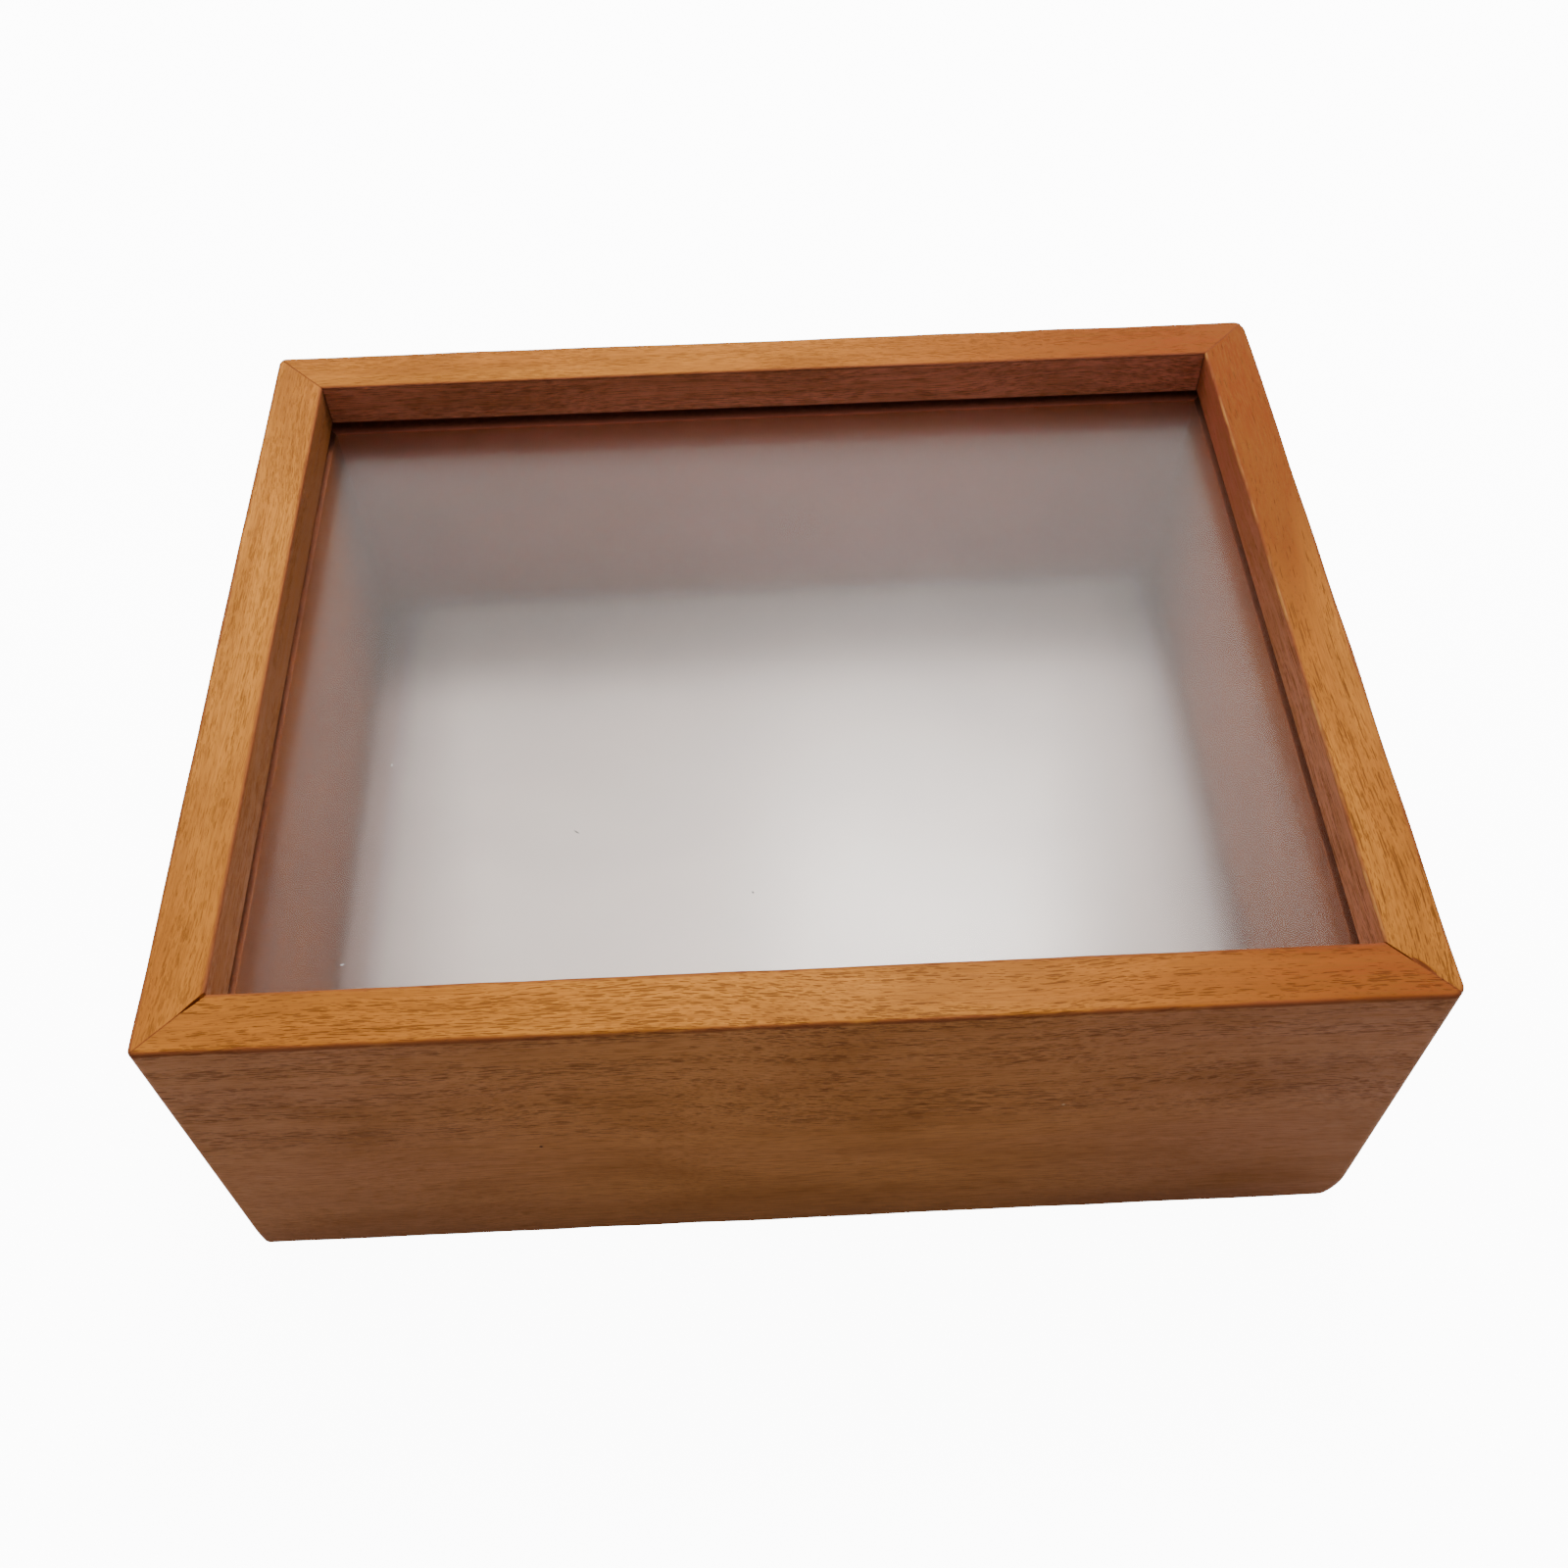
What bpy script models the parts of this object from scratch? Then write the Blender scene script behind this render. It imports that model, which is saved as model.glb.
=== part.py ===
"""Shadow box for collectibles: four mitred hardwood rails with a recessed acrylic pane, a padded back
that lifts out once its four turn buttons are opened, two sawtooth hangers and four bumpers.

The box lies on its back, face up. The origin is on the surface it rests on, under the box's centre:
+X runs along the long side, +Y towards the back rail and +Z up, out of the face. Every turn button is
drawn open, parallel to its rail, and closes by turning 90 degrees about +Z.
"""

import math

import bmesh
import bpy
from mathutils import Matrix, Vector

MM = 0.001  # the constants below are in millimetres, and every mesh is in metres

# Case: four rails round a 10 by 8 inch outline, cut from half-inch board
CASE_WIDTH = 254.0
CASE_DEPTH = 203.2
RAIL_HEIGHT = 95.0
RAIL_THICKNESS = 12.7
CORNER_RADIUS = 2.2  # the assembled case's upright corners, sanded round
ARRIS_RADIUS = 0.9  # the outer edges of the face and of the rear
INNER_ARRIS = 0.5  # the chamfer round the mouth
GAP = 0.3  # between pieces that touch on the real object
RUNNING_GAP = 0.1  # between a turn button's hole and its screw

# Bumpers lift the case off the surface
BUMPER_HEIGHT = 2.7
BUMPER_RADIUS = 3.9
BUMPER_FOOT_RADIUS = 3.1
BUMPER_EDGE_RADIUS = 3.55
BUMPER_EDGE_RISE = 0.35
BUMPER_SHOULDER_RISE = 1.4
BUMPER_INSET = 6.2

# Levels above the surface
REAR = BUMPER_HEIGHT + GAP
FACE = REAR + RAIL_HEIGHT

# Glazing: an acrylic sheet with its film on both sides, in a groove that is taller than they are
RECESS = 12.5  # from the face down to the upper film
FILM_THICKNESS = 0.2
FILM_CHAMFER = 0.05
PANE_THICKNESS = 2.0
GROOVE_DEPTH = 5.0
GROOVE_SHADOW = 1.7  # how far the groove stays open above the upper film
PANE_BITE = 4.5  # how far the sheet reaches into the groove
FILM_BITE = 4.2

# Back: a hardboard panel in a rebate, with a foam board on it that fills the mouth of the case
REBATE_WIDTH = 4.0
PANEL_THICKNESS = 3.0
PANEL_BITE = 3.6
FOAM_THICKNESS = 10.4
FOAM_CLEARANCE = 0.4
SHEET_CHAMFER = 0.3

# Turn buttons, two on each long rail
BUTTON_PLACE = 75.0  # from the middle of the rail
BUTTON_INSET = 4.5  # from the rail's outer face to the pivot
BUTTON_LENGTH = 14.0  # from the pivot to the centre of the small end
BUTTON_PIVOT_RADIUS = 3.4
BUTTON_TIP_RADIUS = 2.4
BUTTON_THICKNESS = 1.0
BUTTON_CHAMFER = 0.2

# Pan-head screws: the crown is domed in two steps, and the tip is a cone
SCREW_HEAD_RADIUS = 2.3
SCREW_HEAD_HEIGHT = 0.9
SCREW_CROWN_RADIUS = 1.65
SCREW_SHOULDER_RADIUS = 2.07
SCREW_SHOULDER_RISE = 0.16
SCREW_EDGE_RISE = 0.45
SCREW_TIP_RADIUS = 0.15
SCREW_TIP_LENGTH = 2.0
SCREW_SHANK_RADIUS = 1.0
SCREW_REACH = 8.0  # into the rail
RECESS_ARM = 1.3  # half the length of the driver's cross
RECESS_WIDTH = 0.5
RECESS_DEPTH = 0.5

# Sawtooth hangers, one for each way up
HANGER_LENGTH = 42.0
HANGER_WIDTH = 7.2
HANGER_THICKNESS = 0.8
HANGER_RAISE = 1.4
HANGER_RAISED_LENGTH = 26.0
HANGER_SLOPE = 2.0
HANGER_INSET = 4.4  # from the rail's outer face to the strip's middle
TOOTH_COUNT = 9
TOOTH_PITCH = 2.4
TOOTH_HALF_WIDTH = 1.08
TOOTH_DEPTH = 1.3
TOOTH_OVERRUN = 0.26
NAIL_PLACE = 18.0  # from the hanger's middle
NAIL_HEAD_RADIUS = 1.5
NAIL_HEAD_HEIGHT = 0.5
NAIL_CROWN_RADIUS = 1.2
NAIL_CROWN_RISE = 0.2
NAIL_SHANK_RADIUS = 0.6
NAIL_TIP_RADIUS = 0.12
NAIL_TIP_LENGTH = 1.2
NAIL_REACH = 7.0

# V-nails, pressed into the rear of each mitre
V_NAIL_INSET = 7.0  # from both outer faces to the bend
V_NAIL_LEG = 4.4
V_NAIL_THICKNESS = 0.6
V_NAIL_HEIGHT = 7.0

ROUND_STEPS = 24
CORNER_STEPS = 6
ARRIS_STEPS = 3
SHARP_ANGLE = 35.0  # in degrees: a steeper edge is shaded sharp
BEVEL_ANGLE = 60.0  # in degrees: a steeper edge on a turn button is bevelled
OVERRUN = 3.0  # how far a cutter runs past the face it opens

HALF_WIDTH = CASE_WIDTH / 2
HALF_DEPTH = CASE_DEPTH / 2
MOUTH_HALF_WIDTH = HALF_WIDTH - RAIL_THICKNESS
MOUTH_HALF_DEPTH = HALF_DEPTH - RAIL_THICKNESS
UPPER_FILM_TOP = FACE - RECESS
PANE_TOP = UPPER_FILM_TOP - FILM_THICKNESS - GAP
LOWER_FILM_TOP = PANE_TOP - PANE_THICKNESS - GAP
GROOVE_TOP = UPPER_FILM_TOP + GROOVE_SHADOW
GROOVE_BOTTOM = LOWER_FILM_TOP - FILM_THICKNESS - GAP
PANEL_BOTTOM = REAR + GAP
PANEL_TOP = PANEL_BOTTOM + PANEL_THICKNESS
REBATE_CEILING = PANEL_TOP + GAP
FOAM_TOP = PANEL_TOP + GAP + FOAM_THICKNESS
BUTTON_TOP = REAR - GAP
BUTTON_BOTTOM = BUTTON_TOP - BUTTON_THICKNESS
SCREW_HEAD_TOP = BUTTON_BOTTOM - GAP

# Linear colours, roughness and metallic
WOOD = ((0.40, 0.17, 0.05), 0.45, 0.0)
ACRYLIC = ((0.90, 0.92, 0.92), 0.05, 0.0)
FILM = ((0.80, 0.78, 0.77), 0.35, 0.0)
FOAM = ((0.74, 0.73, 0.71), 0.90, 0.0)
HARDBOARD = ((0.30, 0.18, 0.10), 0.80, 0.0)
BRASS = ((0.62, 0.43, 0.16), 0.30, 1.0)
STEEL = ((0.50, 0.49, 0.47), 0.35, 1.0)
RUBBER = ((0.03, 0.03, 0.03), 0.70, 0.0)


def clear_scene():
    for obj in list(bpy.data.objects):
        bpy.data.objects.remove(obj)


def make_material(name, look):
    colour, roughness, metallic = look
    material = bpy.data.materials.new(name)
    material.use_nodes = True
    shader = material.node_tree.nodes["Principled BSDF"]
    shader.inputs["Base Color"].default_value = (*colour, 1.0)
    shader.inputs["Roughness"].default_value = roughness
    shader.inputs["Metallic"].default_value = metallic
    return material


def add_object(name, mesh, look=None, place=(0.0, 0.0, 0.0), parent=None):
    """Adds a mesh built in millimetres. An object with no look is a cutter, and stays out of renders."""
    mesh.name = name
    obj = bpy.data.objects.new(name, mesh)
    bpy.context.scene.collection.objects.link(obj)
    obj.parent = parent
    obj.location = Vector(place) * MM
    if look is None:
        obj.hide_render = True
        obj.display_type = "WIRE"
    else:
        mesh.materials.append(make_material(name, look))
    return obj


def finish_mesh(shape, turn=None):
    """Turns a bmesh in millimetres into a mesh in metres, with its faces pointing out."""
    if turn is not None:
        shape.transform(turn)
    bmesh.ops.recalc_face_normals(shape, faces=shape.faces)
    shape.transform(Matrix.Scale(MM, 4))
    mesh = bpy.data.meshes.new("mesh")
    shape.to_mesh(mesh)
    shape.free()
    return mesh


def shade_round(mesh):
    mesh.shade_smooth()
    mesh.set_sharp_from_angle(angle=math.radians(SHARP_ANGLE))


def boolean(obj, other, operation="DIFFERENCE"):
    modifier = obj.modifiers.new(other.name, "BOOLEAN")
    modifier.operation = operation
    modifier.solver = "EXACT"
    modifier.object = other


def quarter_turn(count):
    """From the front rail's place to another rail's: 1 is the right rail, 2 the back and 3 the left."""
    return Matrix.Rotation(math.radians(90 * count), 4, "Z")


def circle(radius):
    angles = (2 * math.pi * i / ROUND_STEPS for i in range(ROUND_STEPS))
    return [Vector((radius * math.cos(a), radius * math.sin(a))) for a in angles]


def arc(centre, radius, start, end, steps):
    """Points from one angle to another, in degrees, both ends included."""
    angles = (math.radians(start + (end - start) * i / steps) for i in range(steps + 1))
    return [Vector(centre) + radius * Vector((math.cos(a), math.sin(a))) for a in angles]


def add_rings(shape, rings):
    """Joins rings of points, each as long as the last, into one closed skin."""
    loops = [[shape.verts.new(point) for point in ring] for ring in rings]
    for lower, upper in zip(loops, loops[1:]):
        count = len(lower)
        for i in range(count):
            j = (i + 1) % count
            shape.faces.new((lower[i], lower[j], upper[j], upper[i]))
    shape.faces.new(loops[0][::-1])
    shape.faces.new(loops[-1])
    return shape


def add_prism(shape, outline, bottom, top):
    rings = [[(x, y, z) for x, y in outline] for z in (bottom, top)]
    return add_rings(shape, rings)


def add_turned(shape, profile, centre=(0.0, 0.0)):
    """A turned body from (radius, height) pairs, lowest first."""
    rings = []
    for radius, height in profile:
        rings.append([(centre[0] + p.x, centre[1] + p.y, height) for p in circle(radius)])
    return add_rings(shape, rings)


def rectangle(half_width, half_depth):
    return [
        (-half_width, -half_depth),
        (half_width, -half_depth),
        (half_width, half_depth),
        (-half_width, half_depth),
    ]


def add_chamfered_sheet(shape, half_width, half_depth, bottom, top, chamfer):
    levels = (
        (chamfer, bottom),
        (0.0, bottom + chamfer),
        (0.0, top - chamfer),
        (chamfer, top),
    )
    rings = []
    for inset, z in levels:
        rings.append([(x, y, z) for x, y in rectangle(half_width - inset, half_depth - inset)])
    return add_rings(shape, rings)


def rounded_rectangle(inset):
    """The case's outline, moved inwards, with its corners rounded."""
    radius = CORNER_RADIUS - inset
    x, y = HALF_WIDTH - CORNER_RADIUS, HALF_DEPTH - CORNER_RADIUS
    outline = []
    for cx, cy, start in ((x, y, 0), (-x, y, 90), (-x, -y, 180), (x, -y, 270)):
        outline += arc((cx, cy), radius, start, start + 90, CORNER_STEPS)
    return outline


def sanded_envelope():
    """The outer form of the assembled case, which each rail is trimmed to."""
    edge = []
    for i in range(ARRIS_STEPS + 1):
        angle = math.pi / 2 * i / ARRIS_STEPS
        edge.append((ARRIS_RADIUS * (1 - math.sin(angle)), ARRIS_RADIUS * (1 - math.cos(angle))))
    levels = [(inset, REAR + rise) for inset, rise in edge]
    levels += [(inset, FACE - rise) for inset, rise in reversed(edge)]
    rings = [[(p.x, p.y, z) for p in rounded_rectangle(inset)] for inset, z in levels]
    return add_object("cutter_envelope", finish_mesh(add_rings(bmesh.new(), rings)))


def rail_profile():
    """(distance in from the outer face, height) round a rail's section. It stands proud of the outer
    face, the face and the rear, where the envelope trims it."""
    inner = RAIL_THICKNESS
    groove = inner - GROOVE_DEPTH
    rebate = inner - REBATE_WIDTH
    return [
        (-OVERRUN, REAR - OVERRUN),
        (rebate, REAR - OVERRUN),
        (rebate, REBATE_CEILING),
        (inner, REBATE_CEILING),
        (inner, GROOVE_BOTTOM),
        (groove, GROOVE_BOTTOM),
        (groove, GROOVE_TOP),
        (inner, GROOVE_TOP),
        (inner, FACE - INNER_ARRIS),
        (inner - INNER_ARRIS, FACE),
        (inner - INNER_ARRIS - OVERRUN, FACE + OVERRUN),
        (-OVERRUN, FACE + OVERRUN),
    ]


def rail_blank(length, depth, quarter_turns):
    """A board with mitred ends, its grooved side towards the middle of the case."""
    half = length / 2 - GAP / 2 * math.sqrt(2)
    ends = []
    for side in (-1, 1):
        ends.append([(side * (half - inset), inset - depth / 2, z) for inset, z in rail_profile()])
    return finish_mesh(add_rings(bmesh.new(), ends), quarter_turn(quarter_turns))


def spot_on_rail(depth, along, inset, quarter_turns):
    """(x, y) of a place on a rail's rear, given as it would be on the front rail."""
    spot = quarter_turn(quarter_turns) @ Vector((along, inset - depth / 2, 0.0))
    return spot.x, spot.y


def make_rail(name, length, depth, quarter_turns, envelope, screws, nails):
    """One rail with its holes for screws and nails, each given as a distance along the rail."""
    rail = add_object(name, rail_blank(length, depth, quarter_turns), WOOD)
    boolean(rail, envelope, "INTERSECT")
    holes = bmesh.new()
    bottom = REAR - OVERRUN
    for along in screws:
        centre = spot_on_rail(depth, along, BUTTON_INSET, quarter_turns)
        radius = SCREW_SHANK_RADIUS + GAP
        add_turned(holes, [(radius, bottom), (radius, REAR + SCREW_REACH + GAP)], centre)
    for along in nails:
        centre = spot_on_rail(depth, along, HANGER_INSET, quarter_turns)
        radius = NAIL_SHANK_RADIUS + GAP
        add_turned(holes, [(radius, bottom), (radius, REAR + NAIL_REACH + GAP)], centre)
    for side in (-1, 1):
        slot = v_nail_slot(length, depth, side, quarter_turns)
        add_prism(holes, slot, bottom, REAR + GAP + V_NAIL_HEIGHT + GAP)
    boolean(rail, add_object("cutter_" + name, finish_mesh(holes)))
    return rail


def v_nail_slot(length, depth, side, quarter_turns):
    """The room for a V-nail's leg in one end of a rail. The leg runs straight out towards the rail's
    outer face, and the slot is open into the mitre."""
    half_thickness = V_NAIL_THICKNESS / 2 + GAP
    near = V_NAIL_INSET - half_thickness
    far = V_NAIL_INSET + half_thickness
    outer = V_NAIL_INSET - V_NAIL_LEG - GAP
    inner = V_NAIL_INSET + half_thickness
    corners = ((near, outer), (far, outer), (far, inner), (near, inner))
    return [
        spot_on_rail(depth, side * (length / 2 - from_end), inset, quarter_turns)
        for from_end, inset in corners
    ]


def make_case():
    envelope = sanded_envelope()
    button_screws = (-BUTTON_PLACE, BUTTON_PLACE)
    hanger_nails = (-NAIL_PLACE, NAIL_PLACE)
    make_rail("front_rail", CASE_WIDTH, CASE_DEPTH, 0, envelope, button_screws, ())
    make_rail("right_rail", CASE_DEPTH, CASE_WIDTH, 1, envelope, (), ())
    make_rail("back_rail", CASE_WIDTH, CASE_DEPTH, 2, envelope, button_screws, hanger_nails)
    make_rail("left_rail", CASE_DEPTH, CASE_WIDTH, 3, envelope, (), hanger_nails)


def make_sheet(name, margin, top, thickness, look, chamfer):
    """A flat sheet that reaches the given distance past the mouth of the case on every side."""
    half_width = MOUTH_HALF_WIDTH + margin
    half_depth = MOUTH_HALF_DEPTH + margin
    shape = add_chamfered_sheet(bmesh.new(), half_width, half_depth, top - thickness, top, chamfer)
    return add_object(name, finish_mesh(shape), look)


def make_glazing():
    make_sheet("protective_film_outer", FILM_BITE, UPPER_FILM_TOP, FILM_THICKNESS, FILM, FILM_CHAMFER)
    make_sheet("acrylic_pane", PANE_BITE, PANE_TOP, PANE_THICKNESS, ACRYLIC, SHEET_CHAMFER)
    make_sheet("protective_film_inner", FILM_BITE, LOWER_FILM_TOP, FILM_THICKNESS, FILM, FILM_CHAMFER)


def make_back():
    make_sheet("back_panel", PANEL_BITE, PANEL_TOP, PANEL_THICKNESS, HARDBOARD, SHEET_CHAMFER)
    make_sheet("foam_board", -FOAM_CLEARANCE, FOAM_TOP, FOAM_THICKNESS, FOAM, SHEET_CHAMFER)


def button_outline():
    """Two round ends joined by their outer tangents, the pivot at the origin."""
    tangent = math.degrees(math.acos((BUTTON_PIVOT_RADIUS - BUTTON_TIP_RADIUS) / BUTTON_LENGTH))
    pivot_end = arc((0.0, 0.0), BUTTON_PIVOT_RADIUS, tangent, 360 - tangent, ROUND_STEPS // 2)
    tip_end = arc((BUTTON_LENGTH, 0.0), BUTTON_TIP_RADIUS, -tangent, tangent, ROUND_STEPS // 2)
    return pivot_end + tip_end


def make_turn_button(name, pivot, quarter_turns):
    """A brass turn button, drawn open. Its empty is on its hinge axis."""
    axis = bpy.data.objects.new("axis_" + name, None)
    bpy.context.scene.collection.objects.link(axis)
    axis.location = Vector((*pivot, 0.0)) * MM
    turn = quarter_turn(quarter_turns)
    plate = add_prism(bmesh.new(), button_outline(), BUTTON_BOTTOM, BUTTON_TOP)
    obj = add_object(name, finish_mesh(plate, turn), BRASS, parent=axis)
    edge = obj.modifiers.new("edge", "BEVEL")
    edge.width = BUTTON_CHAMFER * MM
    edge.segments = 2
    edge.limit_method = "ANGLE"
    edge.angle_limit = math.radians(BEVEL_ANGLE)
    radius = SCREW_SHANK_RADIUS + RUNNING_GAP
    hole = add_turned(bmesh.new(), [(radius, BUTTON_BOTTOM - OVERRUN), (radius, BUTTON_TOP + OVERRUN)])
    boolean(obj, add_object("cutter_" + name, finish_mesh(hole), parent=axis))
    shade_round(obj.data)


def driver_cross():
    """The outline of the driver's cross, one arm after another."""
    half = RECESS_WIDTH / 2
    arm = [(RECESS_ARM, -half), (RECESS_ARM, half), (half, half)]
    return [(quarter_turn(i) @ Vector((x, y, 0.0))).to_2d() for i in range(4) for x, y in arm]


def make_screw(name, place):
    """A pan-head screw through a turn button, up into the rail."""
    head_bottom = SCREW_HEAD_TOP - SCREW_HEAD_HEIGHT
    tip = REAR + SCREW_REACH
    profile = [
        (SCREW_CROWN_RADIUS, head_bottom),
        (SCREW_SHOULDER_RADIUS, head_bottom + SCREW_SHOULDER_RISE),
        (SCREW_HEAD_RADIUS, head_bottom + SCREW_EDGE_RISE),
        (SCREW_HEAD_RADIUS, SCREW_HEAD_TOP),
        (SCREW_SHANK_RADIUS, SCREW_HEAD_TOP),
        (SCREW_SHANK_RADIUS, tip - SCREW_TIP_LENGTH),
        (SCREW_TIP_RADIUS, tip),
    ]
    obj = add_object(name, finish_mesh(add_turned(bmesh.new(), profile)), BRASS, (*place, 0.0))
    recess = add_prism(bmesh.new(), driver_cross(), head_bottom - OVERRUN, head_bottom + RECESS_DEPTH)
    boolean(obj, add_object("cutter_" + name, finish_mesh(recess), place=(*place, 0.0)))
    shade_round(obj.data)


def make_turn_buttons():
    for rail, quarter_turns in (("front", 0), ("back", 2)):
        for along in (-BUTTON_PLACE, BUTTON_PLACE):
            pivot = spot_on_rail(CASE_DEPTH, along, BUTTON_INSET, quarter_turns)
            label = rail + ("_left" if pivot[0] < 0 else "_right")
            make_turn_button("turn_button_" + label, pivot, quarter_turns)
            make_screw("turn_button_screw_" + label, pivot)


def hanger_section():
    """(along, height) round the bent strip: two flat ends and a middle raised off the rail."""
    end = HANGER_LENGTH / 2
    raised = HANGER_RAISED_LENGTH / 2
    top = REAR - GAP
    path = [
        (-end, top),
        (-raised - HANGER_SLOPE, top),
        (-raised, top - HANGER_RAISE),
        (raised, top - HANGER_RAISE),
        (raised + HANGER_SLOPE, top),
        (end, top),
    ]
    return path + [(along, height - HANGER_THICKNESS) for along, height in reversed(path)]


def make_hanger(name, middle, quarter_turns):
    """A sawtooth hanger along a rail. Its teeth face the middle of the case."""
    turn = quarter_turn(quarter_turns)
    edge = HANGER_WIDTH / 2
    sides = [[(along, y, height) for along, height in hanger_section()] for y in (-edge, edge)]
    obj = add_object(name, finish_mesh(add_rings(bmesh.new(), sides), turn), STEEL, (*middle, 0.0))
    cuts = bmesh.new()
    for i in range(TOOTH_COUNT):
        along = (i - (TOOTH_COUNT - 1) / 2) * TOOTH_PITCH
        notch = [
            (along - TOOTH_HALF_WIDTH, edge + TOOTH_OVERRUN),
            (along, edge - TOOTH_DEPTH),
            (along + TOOTH_HALF_WIDTH, edge + TOOTH_OVERRUN),
        ]
        add_prism(cuts, notch, -OVERRUN, REAR)
    for side in (-1, 1):
        radius = NAIL_SHANK_RADIUS + GAP
        add_turned(cuts, [(radius, -OVERRUN), (radius, REAR + OVERRUN)], (side * NAIL_PLACE, 0.0))
    boolean(obj, add_object("cutter_" + name, finish_mesh(cuts, turn), place=(*middle, 0.0)))


def make_nail(name, place):
    head_top = REAR - GAP - HANGER_THICKNESS - GAP
    head_bottom = head_top - NAIL_HEAD_HEIGHT
    tip = REAR + NAIL_REACH
    profile = [
        (NAIL_CROWN_RADIUS, head_bottom),
        (NAIL_HEAD_RADIUS, head_bottom + NAIL_CROWN_RISE),
        (NAIL_HEAD_RADIUS, head_top),
        (NAIL_SHANK_RADIUS, head_top),
        (NAIL_SHANK_RADIUS, tip - NAIL_TIP_LENGTH),
        (NAIL_TIP_RADIUS, tip),
    ]
    obj = add_object(name, finish_mesh(add_turned(bmesh.new(), profile)), STEEL, (*place, 0.0))
    shade_round(obj.data)


def make_hangers():
    for label, depth, quarter_turns in (("long", CASE_DEPTH, 2), ("short", CASE_WIDTH, 3)):
        middle = spot_on_rail(depth, 0.0, HANGER_INSET, quarter_turns)
        make_hanger("sawtooth_hanger_" + label, middle, quarter_turns)
        for number, along in enumerate((-NAIL_PLACE, NAIL_PLACE), 1):
            place = spot_on_rail(depth, along, HANGER_INSET, quarter_turns)
            make_nail(f"hanger_nail_{label}_{number}", place)


def make_corner_pieces():
    """A bumper and a V-nail at each corner."""
    for label, sx, sy in (
        ("front_left", -1, -1),
        ("front_right", 1, -1),
        ("back_right", 1, 1),
        ("back_left", -1, 1),
    ):
        profile = [
            (BUMPER_FOOT_RADIUS, 0.0),
            (BUMPER_EDGE_RADIUS, BUMPER_EDGE_RISE),
            (BUMPER_RADIUS, BUMPER_SHOULDER_RISE),
            (BUMPER_RADIUS, BUMPER_HEIGHT),
        ]
        place = (sx * (HALF_WIDTH - BUMPER_INSET), sy * (HALF_DEPTH - BUMPER_INSET), 0.0)
        mesh = finish_mesh(add_turned(bmesh.new(), profile))
        add_object("bumper_" + label, mesh, RUBBER, place)
        shade_round(mesh)
        add_object("v_nail_" + label, v_nail_mesh(sx, sy), STEEL)


def v_nail_mesh(sx, sy):
    """An upright strip bent to a right angle on the mitre, with a leg that runs out into each rail."""
    half, leg = V_NAIL_THICKNESS / 2, V_NAIL_LEG
    bend = [(-half, -half), (leg, -half), (leg, half), (half, half), (half, leg), (-half, leg)]
    x, y = HALF_WIDTH - V_NAIL_INSET, HALF_DEPTH - V_NAIL_INSET
    outline = [(sx * (x + along), sy * (y + across)) for along, across in bend]
    return finish_mesh(add_prism(bmesh.new(), outline, REAR + GAP, REAR + GAP + V_NAIL_HEIGHT))


def main():
    clear_scene()
    make_case()
    make_glazing()
    make_back()
    make_turn_buttons()
    make_hangers()
    make_corner_pieces()
    bpy.context.view_layer.update()


main()
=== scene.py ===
"""The looks of the shadow box: a wooden case with a hazy recessed pane over a white foam floor.

Every piece is built in the CAD model's own frame, in millimetres, and scaled to metres at the end. Sizes
and places that the CAD model holds are read from the frame. Lamps and the camera are placed in metres.
"""

import math
import random
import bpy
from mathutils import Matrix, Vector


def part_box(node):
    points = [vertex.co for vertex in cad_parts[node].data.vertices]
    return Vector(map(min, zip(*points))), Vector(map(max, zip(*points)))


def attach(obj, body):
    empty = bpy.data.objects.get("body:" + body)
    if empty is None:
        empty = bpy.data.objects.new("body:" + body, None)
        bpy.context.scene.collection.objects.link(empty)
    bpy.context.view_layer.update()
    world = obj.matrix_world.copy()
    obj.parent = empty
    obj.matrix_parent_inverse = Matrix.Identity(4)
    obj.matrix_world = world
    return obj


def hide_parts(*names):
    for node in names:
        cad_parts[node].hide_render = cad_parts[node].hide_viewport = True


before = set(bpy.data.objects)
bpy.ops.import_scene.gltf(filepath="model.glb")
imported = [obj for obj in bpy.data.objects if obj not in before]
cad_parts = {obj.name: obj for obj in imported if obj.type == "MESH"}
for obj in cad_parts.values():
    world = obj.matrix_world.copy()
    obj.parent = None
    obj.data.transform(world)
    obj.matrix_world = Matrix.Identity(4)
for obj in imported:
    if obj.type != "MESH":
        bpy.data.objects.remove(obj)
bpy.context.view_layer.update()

from types import SimpleNamespace

import bmesh
import bpy
import numpy as np
from mathutils import Matrix, Vector, noise
from mathutils.geometry import delaunay_2d_cdt

MM = 0.001

SHARP_ANGLE = 33.0  # degrees; steeper bends between faces are shaded as edges

# Rails: what is finer than in the CAD model
ARRIS = 0.95  # the outer edges' rounding, before its wobble
ARRIS_WOBBLE = 0.3
INNER_ARRIS = 0.45
ARRIS_STEPS = 6
END_LENGTH = 18.0  # the stretch by each mitre that is divided finely
END_STEPS = 26
STATION_PITCH = 3.5
GROOVE_LIFT = 0.003  # what the back rail's groove gains in height per mm along the rail

# Holes: what they leave round a shank, and the shanks that the CAD model has
PILOT_CLEARANCE = 0.08
SCREW_SHANK = 1.0
NAIL_SHANK = 0.6
V_NAIL_THICKNESS = 0.6

# The splinter missing by the front right mitre
CHIP_INSET = 6.6
CHIP_HALF_WIDTH = 2.1
CHIP_REACH = 1.3
CHIP_DEPTH = 0.55

# The foam board: its rounding, how far its face dips, and the insets of the rings that its face has
FOAM_ROUND = 2.4
FOAM_DIP = 0.25
FOAM_RINGS = (4.0, 7.0, 12.0, 20.0, 32.0, 46.0, 62.0, 76.0)
FOAM_POINTS = (38, 30)  # steps along its long and its short sides

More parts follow.
